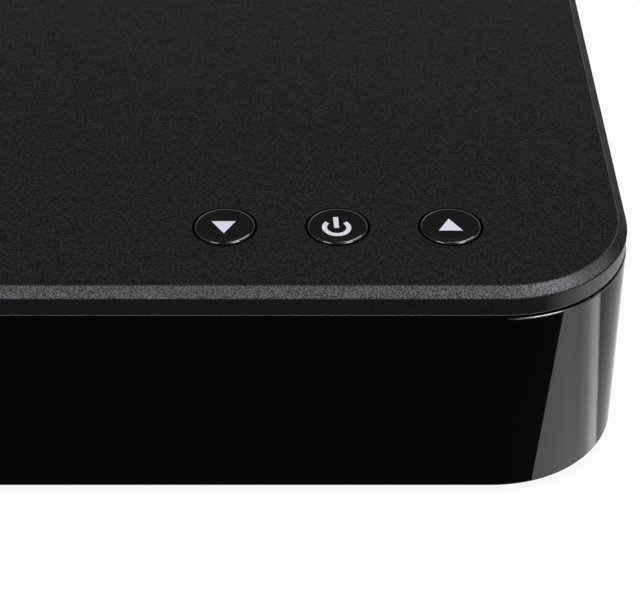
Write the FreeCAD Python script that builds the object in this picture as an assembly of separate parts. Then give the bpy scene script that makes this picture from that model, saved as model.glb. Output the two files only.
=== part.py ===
import FreeCAD, Part

import math
import os

# A satellite TV receiver: a moulded lid with three round keys, a gloss frame that forms the front and sides,
# a base tray on rubber feet, a metal back panel with the sockets, and the boards inside.
# Millimetres. +Z is up, -Y is the front, +X is the right-hand side seen from the front.
# The origin is on the table, under the middle of the whole object's box.

# ---------------------------------------------------------------- driving dimensions

# housing
body_width = 220.0            # across the lid
body_depth = 160.0            # front to back of the lid
body_height = 42.4            # table to the lid's top face
corner_radius = 21.0          # plan corners of the lid
foot_clearance = 2.5          # table to the frame's lower edge

# lid
lid_plate = 2.2               # thickness of the top plate
lid_skirt_height = 4.8        # top face to the skirt's lower edge
lid_chamfer_run = 1.6         # bevel round the top, seen from above
lid_chamfer_drop = 1.5        # bevel round the top, seen from the side
lid_bevel_round = 0.5         # soft edges of the bevel
lid_skirt_round = 0.25        # lower outer edge of the skirt
lip_height = 3.0              # rib that locates the lid inside the frame
lip_thickness = 1.4
lip_clearance = 0.25
lid_rib_thickness = 1.2
lid_rib_height = 2.4
lid_rib_pitch = 34.0

# gloss frame
frame_wall = 2.4              # lid outline to the frame's inner face
frame_outset = 0.2            # top of the frame beyond the lid's outline
frame_flare = 0.65            # mould draft: how much further out the lower edge is
frame_edge_round = 0.25
shadow_gap = 0.35             # dark groove between lid and frame
shadow_gap_depth = 0.8
ledge_width = 1.5             # inner ledge that stands on the tray's rim
ledge_height = 2.0

# display window, left half of the front
window_end_gap = 2.0          # from the start of the front's flat stretch
window_width = 70.0
window_height = 16.0
window_top_gap = 3.1          # its flange to the lid's locating lip
window_flange = 1.5           # how far its flange laps the wall inside
window_flange_thickness = 1.2
window_clearance = 0.1

# base tray
tray_recess = 0.3             # tray floor above the frame's lower edge
tray_floor = 2.0
tray_rim_height = 4.0
tray_rim_thickness = 1.6
tray_clearance = 0.3
tray_vent_width = 2.2
tray_vent_length = 22.0
tray_vent_pitch = 6.0
tray_vent_count = 15
tray_vent_gap = 8.0           # between the two rows of slots

# vents at the back of the lid
lid_vent_width = 1.8
lid_vent_length = 24.0
lid_vent_pitch = 5.0
lid_vent_count = 11           # in each of the two fields
lid_vent_setback = 18.0       # from the back edge of the lid
lid_vent_field_x = 48.0       # middle of each field

# feet
foot_radius = 8.0
foot_inset = 24.0             # from the lid's outline, both ways
foot_recess = 0.5
foot_bevel = 0.7
foot_recess_clearance = 0.1

# case screws and their bosses
case_screw_inset_x = 13.0
case_screw_inset_y = 14.0
case_screw_radius = 1.5
case_screw_length = 10.0
screw_head_radius = 2.8
screw_head_height = 2.0
screw_drive_width = 0.9       # cross recess
screw_drive_span = 3.0
screw_drive_depth = 1.0
screw_drive_share = 0.6       # no deeper than this share of the head
screw_head_bevel = 0.3        # share of the head's height
screw_hole_clearance = 0.05
screw_head_clearance = 0.4
lid_boss_radius = 4.0
tray_boss_radius = 5.2
tray_boss_height = 4.2
counterbore_depth = 2.5

# keys on the lid
key_row_inset = 46.7          # lid's right edge to the middle key
key_row_setback = 16.9        # lid's front edge to the row
key_pitch = 18.0
key_radius = 4.8
key_clearance = 0.45
key_stand_out = 0.25          # above the lid
key_edge_bevel = 0.25
key_flange_radius = 6.0
key_flange_thickness = 1.0
key_stem_radius = 1.7
key_travel = 0.5
key_tab_width = 1.6           # stops the key turning
key_tab_reach = 0.9
collar_clearance = 0.2
collar_wall = 1.2
collar_height = 2.2

# push switches under the keys
push_switch_size = 6.0
push_switch_height = 3.5
stem_gap = 0.3                # flange's underside to the stem's tip beyond the travel
plunger_radius = 1.75
plunger_stand_out = 0.8
plunger_clearance = 0.08
plunger_seat = 0.9            # how far the plunger reaches into its switch at rest
push_switch_round = 0.4

# boards
board_thickness = 1.6
standoff_height = 4.5
standoff_radius = 3.5
board_screw_radius = 1.25
board_screw_length = 6.0
board_screw_inset = 5.0
board_rear_screw_setback = 46.0   # from the board's back edge, in front of the tuner cans
main_board_end_gap = 1.7      # board's end to the back panel's post
main_board_depth = 112.0
main_board_gap = 0.6          # board to back panel
jack_body_gap = 0.3           # jack bodies to back panel
key_board_margin_x = 8.0      # beyond the outer keys
key_board_front = 8.0         # from the row of keys forward
key_board_back = 13.0         # from the row of keys back
key_board_boss_radius = 2.5
key_board_boss_x = 22.0
key_board_boss_y = 10.0
key_board_screw_length = 5.0
small_screw_radius = 0.9
small_head_radius = 1.9
small_head_height = 1.3
display_board_width = 66.0
display_board_height = 21.0
display_post_size = 6.0
display_post_inset = 8.0      # from each end of the board
display_slot_depth = 4.0
display_slot_clearance = 0.1
display_seat_height = 4.0     # tray floor to the board's lower edge

# display parts
digit_width = 30.0
digit_height = 10.0
digit_depth = 8.0
digit_gap = 0.5               # window flange to the display's face
infrared_inset = 7.0          # from the display board's end
infrared_size = 6.0
infrared_depth = 3.4
infrared_lens_radius = 2.4
led_inset = 7.0               # from the board's other end
led_radius = 1.5
led_length = 5.0

# headers, ribbons and leads
header_width = 10.0
header_depth = 5.0
header_height = 6.0
key_header_height = 5.0
key_header_x = -8.0           # from the middle key
header_setback = 12.0         # main board's front edge to its headers
ribbon_width = 8.0
ribbon_thickness = 0.9
ribbon_bend = 5.0
lead_radius = 0.8
lead_bend = 5.0
lead_spacing = 4.8
lead_run = 14.0               # straight run from the switch's tabs

# parts on the main board
processor_size = 27.0
processor_height = 2.2
processor_x = 2.0
processor_setback = 58.0      # from the board's back edge
heatsink_size = 38.0
heatsink_base = 3.0
fin_height = 9.0
fin_thickness = 1.3
fin_count = 9
memory_size = 11.0
memory_length = 7.2
memory_height = 1.2
memory_pitch = 18.0           # between the two chips' middles
memory_gap = 5.5              # from the heatsink
capacitor_radius = 4.0
capacitor_height = 12.0
capacitor_pitch = 11.0
capacitor_count = 5
capacitor_bevel = 0.4
inductor_size = 9.0
inductor_height = 5.0
inductor_pitch = 13.0
inductor_count = 3
inductor_round = 1.8
component_gap = 1.5           # between the rows of cans and coils
capacitor_setback = 22.0      # main board's front edge to the row of cans
component_inset = 4.0         # row of cans and coils from the power switch's middle

# back panel
panel_thickness = 1.0
panel_end_gap = 1.0           # panel's end to the start of the frame's corner
panel_lap = 2.0               # panel beyond the frame's opening, at each end
opening_drop = 3.4            # frame's back opening below the main board's top face
opening_top_lap = 2.6         # panel above the opening
socket_clearance = 0.25
socket_stand_out = 0.6        # socket mouths beyond the panel
panel_post_width = 3.0
panel_post_depth = 3.0
panel_post_height = 11.0
panel_vent_width = 1.4
panel_vent_height = 3.2
panel_vent_pitch = 4.0
panel_vent_count = 12
panel_vent_drop = 3.0         # opening's top to the middle of the row
panel_vent_x = -12.0          # middle of the row

# aerial connectors: 3/8-32 thread, drawn at its outer diameter
thread_radius = 9.525 / 2
thread_reach = 12.0           # beyond the panel's outer face
thread_chamfer = 0.4
thread_relief = 0.25          # neck under the nut, smaller than the thread
thread_relief_run = 0.3       # neck beyond the nut
aerial_hole_radius = 5.0
aerial_height = 8.8           # axis above the main board
aerial_1_inset = 15.5         # from the panel's right-hand end
aerial_pitch = 22.5
base_hex = 12.0               # across flats
base_hex_thickness = 2.5
nut_hex = 11.0
nut_thickness = 2.2
nut_bore_clearance = 0.03
insulator_radius = 3.4
insulator_depth = 8.0
insulator_recess = 0.4
contact_hole_radius = 0.5
tuner_width = 20.0
tuner_depth = 40.0
tuner_height = 15.0
tuner_wall = 0.5

# sockets: each inset is from the panel's left-hand end, seen from the front, to the socket's middle
hdmi_inset = 98.0
hdmi_width = 15.0
hdmi_height = 5.8
hdmi_depth = 12.0
hdmi_wall = 0.5
hdmi_corner = 1.8             # slanted lower corners
hdmi_tongue_lift = 0.3        # tongue above the middle
hdmi_tongue_width = 11.6
hdmi_tongue_thickness = 1.3
hdmi_tongue_recess = 0.6

lan_inset = 79.8
lan_width = 16.0
lan_height = 13.6
lan_depth = 18.0
lan_cavity_width = 11.8
lan_cavity_height = 8.2
lan_cavity_depth = 12.0
lan_cavity_floor = 1.6
lan_latch_width = 6.2
lan_latch_height = 2.0
lan_contact_count = 8
lan_contact_pitch = 1.02
lan_contact_radius = 0.22
lan_contact_drop = 2.0        # how far the wires hang into the cavity
lan_contact_run = 6.0

usb_inset = 62.0
usb_width = 14.4
usb_height = 15.6
usb_depth = 16.0
usb_wall = 0.6
usb_mouth_width = 12.5
usb_mouth_height = 5.2
usb_mouth_pitch = 7.8
usb_tongue_width = 11.2
usb_tongue_thickness = 1.9
usb_tongue_recess = 0.8
usb_tongue_gap = 0.5          # tongue to the mouth's roof
usb_mouth_depth = 10.0

optical_inset = 47.6
optical_width = 9.8
optical_height = 10.6
optical_depth = 14.0
optical_mouth = 5.8
optical_lip = 1.0
optical_cavity = 6.6
optical_cavity_depth = 9.5
optical_floor = 2.0           # block's underside to the cavity's floor
shutter_thickness = 0.8
shutter_gap = 0.1
shutter_floor_gap = 0.25
shutter_pivot_radius = 0.45
shutter_pivot_lift = 0.225    # pivot above the cavity
shutter_pivot_clearance = 0.07
shutter_pivot_length = 0.8

av_inset = 37.6
ir_inset = 29.0
jack_width = 7.0
jack_height = 7.6
jack_depth = 14.0
jack_bore_radius = 1.8
jack_bore_depth = 12.0
jack_nose_radius = 3.0
jack_nose_root = 1.0          # nose starts this far inside the block

dc_inset = 19.5
dc_width = 9.0
dc_height = 11.0
dc_depth = 14.0
dc_bore_radius = 3.15
dc_bore_depth = 10.0
dc_pin_radius = 1.05
dc_pin_recess = 0.8
dc_pin_chamfer = 0.3

# power switch
switch_inset = 8.4
switch_height = 9.1           # its middle above the main board
switch_body_width = 8.8
switch_body_height = 14.0
switch_body_depth = 9.0
switch_bezel_width = 10.6
switch_bezel_height = 15.8
switch_bezel_thickness = 1.6
switch_bezel_bevel = 0.5
switch_wall = 0.6
rocker_side_clearance = 0.2
rocker_radius = 6.15
rocker_end_clearance = 0.2
rocker_slope = 10.0           # degrees, each half of its face
rocker_crown = 0.9            # middle of its face beyond the bezel
rocker_pivot_depth = 1.5      # behind the bezel's face
rocker_back = 3.2             # behind the pivot
rocker_pin_radius = 0.8
rocker_pin_length = 0.5
rocker_pin_clearance = 0.06
switch_tab_width = 2.4
switch_tab_thickness = 0.6
switch_tab_length = 4.0

# ---------------------------------------------------------------- derived places

reach_behind = thread_reach - frame_wall          # threads beyond the lid's back edge
frame_low_outset = frame_outset + frame_flare
overall_depth = frame_low_outset + body_depth + reach_behind
front_y = frame_low_outset - overall_depth / 2.0   # lid's front edge
middle_y = front_y + body_depth / 2.0
back_y = front_y + body_depth

top_z = body_height
ceiling_z = top_z - lid_plate
seat_z = top_z - lid_skirt_height                  # lid's skirt on the frame
lip_z = seat_z - lip_height

tray_z = foot_clearance + tray_recess
floor_z = tray_z + tray_floor
ledge_z = floor_z + tray_rim_height
boss_meet_z = floor_z + tray_boss_height           # tray bosses meet the lid's
board_z = floor_z + standoff_height + board_thickness
opening_low = board_z - opening_drop
opening_high = lip_z - opening_top_lap

flat_half_width = body_width / 2.0 - corner_radius # straight stretch of the front and back
panel_half_width = flat_half_width - panel_end_gap
main_board_width = 2 * (panel_half_width - panel_post_width - tray_clearance - main_board_end_gap)
switch_x = switch_inset - panel_half_width
dc_x = dc_inset - panel_half_width
ir_x = ir_inset - panel_half_width
av_x = av_inset - panel_half_width
optical_x = optical_inset - panel_half_width
usb_x = usb_inset - panel_half_width
lan_x = lan_inset - panel_half_width
hdmi_x = hdmi_inset - panel_half_width
aerial_1_x = panel_half_width - aerial_1_inset
aerial_2_x = aerial_1_x - aerial_pitch
switch_z = board_z + switch_height

panel_out_y = back_y - frame_wall
panel_in_y = panel_out_y - panel_thickness
mouth_y = panel_out_y + socket_stand_out
board_back_y = panel_in_y - main_board_gap
board_front_y = board_back_y - main_board_depth
aerial_z = board_z + aerial_height
neck_radius = thread_radius - thread_relief
header_top_z = board_z + header_height
header_y = board_front_y + header_setback

key_y = front_y + key_row_setback
middle_key_x = body_width / 2.0 - key_row_inset
key_places = {
    "down": middle_key_x - key_pitch,
    "power": middle_key_x,
    "up": middle_key_x + key_pitch,
}
stem_z = ceiling_z - key_flange_thickness - key_travel - stem_gap
switch_top_z = stem_z - plunger_stand_out
key_board_z = switch_top_z - push_switch_height    # top face of the key board

window_x0 = window_end_gap - flat_half_width
window_x1 = window_x0 + window_width
window_centre_x = (window_x0 + window_x1) / 2.0
window_high = lip_z - window_top_gap - window_flange
window_low = window_high - window_height
wall_in_y = front_y + frame_wall
digit_y = wall_in_y + window_flange_thickness + digit_gap
display_board_y = digit_y + digit_depth
display_seat_z = floor_z + display_seat_height
window_middle_z = (window_low + window_high) / 2.0

BIG = 400.0                                        # longer than the whole object


# ---------------------------------------------------------------- shape helpers

def vec(x, y, z):
    return FreeCAD.Vector(x, y, z)


def block(x0, x1, y0, y1, z0, z1):
    return Part.makeBox(x1 - x0, y1 - y0, z1 - z0, vec(x0, y0, z0))


def post(x, y, z0, z1, radius):
    """A round post that stands along Z."""
    return Part.makeCylinder(radius, z1 - z0, vec(x, y, z0))


def rod(x, z, y0, y1, radius):
    """A round rod that lies along Y."""
    return Part.makeCylinder(radius, y1 - y0, vec(x, y0, z), vec(0, 1, 0))


def hexagon_rod(x, z, y0, y1, across_flats):
    """A hexagonal rod that lies along Y."""
    corner = across_flats / math.sqrt(3.0)
    angles = [math.radians(60 * k) for k in range(6)]
    points = [vec(x + corner * math.cos(a), y0, z + corner * math.sin(a)) for a in angles]
    face = Part.Face(Part.makePolygon(points + points[:1]))
    return face.extrude(vec(0, y1 - y0, 0))


def outline(outset, z):
    """The lid's rounded rectangle, moved outwards by outset, as a wire at height z."""
    hx = body_width / 2.0 + outset
    hy = body_depth / 2.0 + outset
    r = corner_radius + outset
    edges = []
    for quarter in range(4):
        sx = 1 if quarter in (0, 3) else -1
        sy = 1 if quarter in (0, 1) else -1
        cx, cy = sx * (hx - r), middle_y + sy * (hy - r)
        a0 = math.radians(90 * quarter)
        arc = [vec(cx + r * math.cos(a0 + t), cy + r * math.sin(a0 + t), z)
               for t in (0, math.pi / 4, math.pi / 2)]
        edges.append((arc[0], arc[2], Part.Arc(*arc).toShape()))
    ring = []
    for k in range(4):
        ring.append(edges[k][2])
        ring.append(Part.makeLine(edges[k][1], edges[(k + 1) % 4][0]))
    return Part.Wire(ring)


def slab(outset, z0, z1):
    """A plate with the lid's outline moved outwards by outset."""
    return Part.Face(outline(outset, z0)).extrude(vec(0, 0, z1 - z0))


def tapered(outset0, z0, outset1, z1):
    """The same plate with a different outset at its top."""
    return Part.makeLoft([outline(outset0, z0), outline(outset1, z1)], True, True)


def fuse(first, *others):
    whole = first
    for other in others:
        whole = whole.fuse(other)
    return whole.removeSplitter()


def cut(first, *others):
    whole = first
    for other in others:
        whole = whole.cut(other)
    return whole


def edges_at(shape, z):
    """Edges that lie flat at height z."""
    return [e for e in shape.Edges
            if abs(e.BoundBox.ZMin - z) < 1e-6 and abs(e.BoundBox.ZMax - z) < 1e-6]


def edges_at_y(shape, y):
    """Edges that lie in the upright plane at y."""
    return [e for e in shape.Edges
            if abs(e.BoundBox.YMin - y) < 1e-6 and abs(e.BoundBox.YMax - y) < 1e-6]


def save(name, *solids):
    shape = solids[0] if len(solids) == 1 else Part.makeCompound(list(solids))
    shape.exportStep("parts/" + name + ".step")


def cross_recess(x, y, z, depth):
    """Cross-shaped cutter that starts at height z and reaches by depth, down if it is negative."""
    low, high = min(z, z + depth), max(z, z + depth)
    h, w = screw_drive_span / 2.0, screw_drive_width / 2.0
    return fuse(block(x - h, x + h, y - w, y + w, low, high), block(x - w, x + w, y - h, y + h, low, high))


def screw(x, y, seat, shank, length, head, head_height, point_up):
    """A pan-head screw whose head rests on height seat and whose shank points up or down."""
    way = 1 if point_up else -1
    head_end = seat - way * head_height
    top = post(x, y, min(seat, head_end), max(seat, head_end), head)
    top = top.makeChamfer(head_height * screw_head_bevel, edges_at(top, head_end))
    tip = seat + way * length
    stem = post(x, y, min(seat, tip), max(seat, tip), shank)
    depth = min(screw_drive_depth, head_height * screw_drive_share)
    return cut(fuse(top, stem), cross_recess(x, y, head_end, way * depth))


def corners(inset_x, inset_y):
    """The four places that are inset from the lid's outline."""
    x = body_width / 2.0 - inset_x
    y = body_depth / 2.0 - inset_y
    return [(sx * x, middle_y + sy * y) for sy in (-1, 1) for sx in (-1, 1)]


# ---------------------------------------------------------------- housing

def top_cover():
    skirt = slab(0.0, seat_z, top_z - lid_chamfer_drop)
    bevel = tapered(0.0, top_z - lid_chamfer_drop, -lid_chamfer_run, top_z)
    lid = fuse(skirt, bevel)
    lid = lid.makeFillet(lid_bevel_round, edges_at(lid, top_z) + edges_at(lid, top_z - lid_chamfer_drop))
    lid = lid.makeFillet(lid_skirt_round, edges_at(lid, seat_z))
    lip_outset = -(frame_wall + lip_clearance)
    lid = fuse(lid, slab(lip_outset, lip_z, seat_z + lid_skirt_round))
    lid = cut(lid, slab(lip_outset - lip_thickness, lip_z, ceiling_z))
    grown = [post(x, y, boss_meet_z, ceiling_z, lid_boss_radius)
             for x, y in corners(case_screw_inset_x, case_screw_inset_y)]
    grown += lid_ribs()
    for x in key_places.values():
        reach = key_flange_radius + collar_clearance + collar_wall
        grown.append(post(x, key_y, ceiling_z - collar_height, ceiling_z, reach))
    for side in (-1, 1):
        grown.append(post(middle_key_x + side * key_board_boss_x, key_y + key_board_boss_y,
                          key_board_z, ceiling_z, key_board_boss_radius))
    lid = fuse(lid, *grown)
    holes = []
    for x, y in corners(case_screw_inset_x, case_screw_inset_y):
        depth = case_screw_length + counterbore_depth
        holes.append(post(x, y, boss_meet_z, boss_meet_z + depth,
                          case_screw_radius + screw_hole_clearance))
    for x in key_places.values():
        holes.append(post(x, key_y, ceiling_z, top_z, key_radius + key_clearance))
        holes.append(post(x, key_y, ceiling_z - collar_height, ceiling_z,
                          key_flange_radius + collar_clearance))
        half = key_tab_width / 2.0 + collar_clearance
        reach = key_flange_radius + key_tab_reach + collar_clearance
        holes.append(block(x - half, x + half, key_y, key_y + reach, ceiling_z - collar_height, ceiling_z))
    for side in (-1, 1):
        holes.append(post(middle_key_x + side * key_board_boss_x, key_y + key_board_boss_y,
                          key_board_z, key_board_z + key_board_screw_length,
                          small_screw_radius + screw_hole_clearance))
    return cut(lid, *(holes + lid_vents()))


def lid_ribs():
    """Stiffening ribs under the top plate, front to back, clear of the keys and vents."""
    ribs = []
    front = key_y + key_board_back + lid_rib_thickness
    back = back_y - lid_vent_setback - lid_vent_length - lid_rib_thickness
    count = int((body_width / 2.0 - case_screw_inset_x) / lid_rib_pitch)
    for k in range(-count, count + 1):
        x = k * lid_rib_pitch
        ribs.append(block(x - lid_rib_thickness / 2.0, x + lid_rib_thickness / 2.0, front, back,
                          ceiling_z - lid_rib_height, ceiling_z))
    return ribs


def lid_vents():
    slots = []
    y1 = back_y - lid_vent_setback
    for side in (-1, 1):
        for k in range(lid_vent_count):
            x = side * lid_vent_field_x + (k - (lid_vent_count - 1) / 2.0) * lid_vent_pitch
            slots.append(block(x - lid_vent_width / 2.0, x + lid_vent_width / 2.0, y1 - lid_vent_length, y1,
                               ceiling_z, top_z))
    return slots


def frame_walls():
    """The frame's four walls before its openings are cut."""
    outer = tapered(frame_low_outset, foot_clearance, frame_outset, seat_z - shadow_gap)
    rims = edges_at(outer, foot_clearance) + edges_at(outer, seat_z - shadow_gap)
    outer = outer.makeFillet(frame_edge_round, rims)
    step = slab(-shadow_gap_depth, seat_z - shadow_gap - frame_edge_round, seat_z)
    return cut(fuse(outer, step), slab(-frame_wall, foot_clearance, seat_z))


def gloss_frame():
    walls = frame_walls()
    ring = cut(slab(-frame_wall, ledge_z, ledge_z + ledge_height),
               slab(-frame_wall - ledge_width, ledge_z, ledge_z + ledge_height))
    gap = panel_half_width + tray_clearance
    ring = cut(ring, block(-gap, gap, panel_in_y - ledge_width, back_y, ledge_z, ledge_z + ledge_height))
    walls = fuse(walls, ring)
    window = block(window_x0, window_x1, front_y - BIG, wall_in_y, window_low, window_high)
    half = panel_half_width - panel_lap
    opening = block(-half, half, panel_out_y - ledge_width, back_y + BIG, opening_low, opening_high)
    return cut(walls, window, opening)


def display_window():
    c = window_clearance
    pane = block(window_x0 + c, window_x1 - c, front_y - BIG, wall_in_y, window_low + c, window_high - c)
    pane = frame_walls().common(pane)
    f = window_flange
    flange = block(window_x0 - f, window_x1 + f, wall_in_y, wall_in_y + window_flange_thickness,
                   window_low - f, window_high + f)
    return fuse(pane, flange)


def base_tray():
    fit = -(frame_wall + tray_clearance)
    tray = slab(fit, tray_z, ledge_z)
    tray = cut(tray, slab(fit - tray_rim_thickness, floor_z, ledge_z))
    gap = panel_half_width + tray_clearance
    tray = cut(tray, block(-gap, gap, panel_in_y - tray_rim_thickness, back_y, floor_z, ledge_z))
    grown = [post(x, y, floor_z, boss_meet_z, tray_boss_radius)
             for x, y in corners(case_screw_inset_x, case_screw_inset_y)]
    grown += [post(x, y, floor_z, floor_z + standoff_height, standoff_radius)
              for x, y in board_holes()]
    grown += panel_posts() + display_posts()
    tray = fuse(tray, *grown)
    holes = []
    for x, y in corners(case_screw_inset_x, case_screw_inset_y):
        holes.append(post(x, y, tray_z, tray_z + counterbore_depth,
                          screw_head_radius + screw_head_clearance))
        holes.append(post(x, y, tray_z, boss_meet_z, case_screw_radius + screw_hole_clearance))
    for x, y in corners(foot_inset, foot_inset):
        holes.append(post(x, y, tray_z, tray_z + foot_recess, foot_radius + foot_recess_clearance))
    for x, y in board_holes():
        holes.append(post(x, y, floor_z, floor_z + standoff_height,
                          board_screw_radius + screw_hole_clearance))
    return cut(tray, *(holes + tray_vents()))


def panel_posts():
    """Posts that hold the back panel against the frame."""
    inner = panel_half_width - panel_post_width - tray_clearance
    posts = []
    for side in (-1, 1):
        x0, x1 = sorted((side * inner, side * (inner + panel_post_width)))
        posts.append(block(x0, x1, panel_in_y - panel_post_depth, panel_in_y,
                           floor_z, floor_z + panel_post_height))
    return posts


def display_posts():
    """Slotted posts that hold the display board upright."""
    posts = []
    h = display_post_size / 2.0
    y = display_board_y + board_thickness / 2.0
    slot = board_thickness / 2.0 + display_slot_clearance
    for side in (-1, 1):
        x = window_centre_x + side * (display_board_width / 2.0 - display_post_inset)
        top = display_seat_z + display_slot_depth
        solid = block(x - h, x + h, y - h, y + h, floor_z, top)
        posts.append(cut(solid, block(x - h, x + h, y - slot, y + slot, display_seat_z, top)))
    return posts


def tray_vents():
    slots = []
    mid = (board_front_y + board_back_y) / 2.0
    for row in (-1, 1):
        y = mid + row * (tray_vent_length + tray_vent_gap) / 2.0
        for k in range(tray_vent_count):
            x = (k - (tray_vent_count - 1) / 2.0) * tray_vent_pitch
            slots.append(block(x - tray_vent_width / 2.0, x + tray_vent_width / 2.0,
                               y - tray_vent_length / 2.0, y + tray_vent_length / 2.0, tray_z, floor_z))
    return slots


def foot(x, y):
    pad = post(x, y, 0.0, tray_z + foot_recess, foot_radius)
    return pad.makeChamfer(foot_bevel, edges_at(pad, 0.0))


def case_screws():
    seat = tray_z + counterbore_depth
    return [screw(x, y, seat, case_screw_radius, case_screw_length,
                  screw_head_radius, screw_head_height, True)
            for x, y in corners(case_screw_inset_x, case_screw_inset_y)]


# ---------------------------------------------------------------- keys and display

def key_cap(x):
    cap = post(x, key_y, ceiling_z - key_flange_thickness, top_z + key_stand_out, key_radius)
    cap = cap.makeChamfer(key_edge_bevel, edges_at(cap, top_z + key_stand_out))
    flange = post(x, key_y, ceiling_z - key_flange_thickness, ceiling_z, key_flange_radius)
    half = key_tab_width / 2.0
    tab = block(x - half, x + half, key_y, key_y + key_flange_radius + key_tab_reach,
                ceiling_z - key_flange_thickness, ceiling_z)
    stem = post(x, key_y, stem_z, ceiling_z - key_flange_thickness, key_stem_radius)
    return fuse(cap, flange, tab, stem)


def push_switch(x):
    h = push_switch_size / 2.0
    body = block(x - h, x + h, key_y - h, key_y + h, key_board_z, switch_top_z)
    upright = [e for e in body.Edges if e.BoundBox.ZLength > push_switch_height / 2.0]
    body = body.makeChamfer(push_switch_round, upright)
    well = post(x, key_y, switch_top_z - plunger_seat - key_travel - plunger_clearance, switch_top_z,
                plunger_radius + plunger_clearance)
    return cut(body, well)


def plunger(x):
    return post(x, key_y, switch_top_z - plunger_seat, stem_z, plunger_radius)


def key_board():
    reach = key_pitch + key_board_margin_x
    board = block(middle_key_x - reach, middle_key_x + reach,
                  key_y - key_board_front, key_y + key_board_back,
                  key_board_z - board_thickness, key_board_z)
    holes = [post(middle_key_x + side * key_board_boss_x, key_y + key_board_boss_y,
                  key_board_z - board_thickness, key_board_z, small_screw_radius + screw_hole_clearance)
             for side in (-1, 1)]
    return cut(board, *holes)


def key_board_screws():
    return [screw(middle_key_x + side * key_board_boss_x, key_y + key_board_boss_y,
                  key_board_z - board_thickness, small_screw_radius, key_board_screw_length,
                  small_head_radius, small_head_height, True)
            for side in (-1, 1)]


def display_board():
    h = display_board_width / 2.0
    return block(window_centre_x - h, window_centre_x + h,
                 display_board_y, display_board_y + board_thickness,
                 display_seat_z, display_seat_z + display_board_height)


def digit_display():
    h = digit_width / 2.0
    z = window_middle_z - digit_height / 2.0
    return block(window_centre_x - h, window_centre_x + h, digit_y, display_board_y, z, z + digit_height)


def infrared_receiver():
    x = window_centre_x + display_board_width / 2.0 - infrared_inset
    h = infrared_size / 2.0
    body = block(x - h, x + h, display_board_y - infrared_depth, display_board_y,
                 window_middle_z - h, window_middle_z + h)
    lens = Part.makeSphere(infrared_lens_radius, vec(x, display_board_y - infrared_depth, window_middle_z))
    return fuse(body, lens)


def status_led():
    x = window_centre_x - display_board_width / 2.0 + led_inset
    stem = rod(x, window_middle_z, display_board_y - led_length, display_board_y, led_radius)
    tip = Part.makeSphere(led_radius, vec(x, display_board_y - led_length, window_middle_z))
    return fuse(stem, tip)


# ---------------------------------------------------------------- boards

def board_holes():
    x = main_board_width / 2.0 - board_screw_inset
    return [(sx * x, y) for sx in (-1, 1)
            for y in (board_front_y + board_screw_inset, board_back_y - board_rear_screw_setback)]


def main_board():
    h = main_board_width / 2.0
    board = block(-h, h, board_front_y, board_back_y, board_z - board_thickness, board_z)
    holes = [post(x, y, board_z - board_thickness, board_z, board_screw_radius + screw_hole_clearance)
             for x, y in board_holes()]
    return cut(board, *holes)


def board_screws():
    length = min(board_screw_length, standoff_height + board_thickness - screw_hole_clearance)
    return [screw(x, y, board_z, board_screw_radius, length,
                  small_head_radius, small_head_height, False)
            for x, y in board_holes()]


def board_headers():
    """Wire headers: three on the main board and one on each small board."""
    w, d = header_width / 2.0, header_depth / 2.0
    ribbon_x = middle_key_x + key_header_x
    made = [block(x - w, x + w, header_y - d, header_y + d, board_z, header_top_z)
            for x in (ribbon_x, window_centre_x)]
    x, y = switch_x, lead_header_y()
    made.append(block(x - lead_spacing / 2.0 - lead_radius * 2, x + lead_spacing / 2.0 + lead_radius * 2,
                      y - d, y + d, board_z, header_top_z))
    under = key_board_z - board_thickness
    y = key_ribbon_y()
    made.append(block(ribbon_x - w, ribbon_x + w, y - d, y + d, under - key_header_height, under))
    back = display_board_y + board_thickness
    z = ribbon_level()
    made.append(block(window_centre_x - w, window_centre_x + w, back, back + key_header_height,
                      z - d, z + d))
    return made


def ribbon_level():
    return header_top_z + ribbon_bend


def key_ribbon_y():
    return key_y + key_board_boss_y - key_board_boss_radius


def lead_header_y():
    return panel_in_y - switch_body_depth - switch_tab_length - lead_run - lead_bend


def ribbon(x, runs, bend):
    """A flat cable in the YZ plane: runs is a list of (y, z) corners, each rounded by bend."""
    half = ribbon_thickness / 2.0
    wire = rounded_path([vec(x - ribbon_width / 2.0, y, z) for y, z in runs], bend)
    along = (wire.Edges[0].Vertexes[1].Point - wire.Edges[0].Vertexes[0].Point).normalize()
    across = along.cross(vec(1, 0, 0)) * half
    start = wire.Edges[0].Vertexes[0].Point
    wide = vec(ribbon_width, 0, 0)
    corners_ = [start - across, start + across, start + across + wide, start - across + wide]
    profile = Part.makePolygon(corners_ + corners_[:1])
    return wire.makePipeShell([profile], True, False)


def rounded_path(points, bend):
    """Straight runs through points, with a tangent arc at each inner corner."""
    edges = []
    start = points[0]
    for k in range(1, len(points) - 1):
        corner = points[k]
        back = (points[k - 1] - corner).normalize()
        ahead = (points[k + 1] - corner).normalize()
        half_turn = (math.pi - back.getAngle(ahead)) / 2.0
        reach = bend * math.tan(half_turn)
        first, last = corner + back * reach, corner + ahead * reach
        inward = (back + ahead).normalize()
        centre = corner + inward * (bend / math.cos(half_turn))
        middle = centre - inward * bend
        if (first - start).Length > 1e-6:
            edges.append(Part.makeLine(start, first))
        edges.append(Part.Arc(first, middle, last).toShape())
        start = last
    if (points[-1] - start).Length > 1e-6:
        edges.append(Part.makeLine(start, points[-1]))
    return Part.Wire(edges)


def key_ribbon():
    y0, z0 = key_ribbon_y(), key_board_z - board_thickness - key_header_height
    drop = (z0 - header_top_z) / 2.0
    level = header_top_z + drop
    runs = [(y0, z0), (y0, level), (header_y, level), (header_y, header_top_z)]
    return ribbon(middle_key_x + key_header_x, runs, min(ribbon_bend, drop))


def display_ribbon():
    y0 = display_board_y + board_thickness + key_header_height
    level = ribbon_level()
    return ribbon(window_centre_x, [(y0, level), (header_y, level), (header_y, header_top_z)], ribbon_bend)


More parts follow.
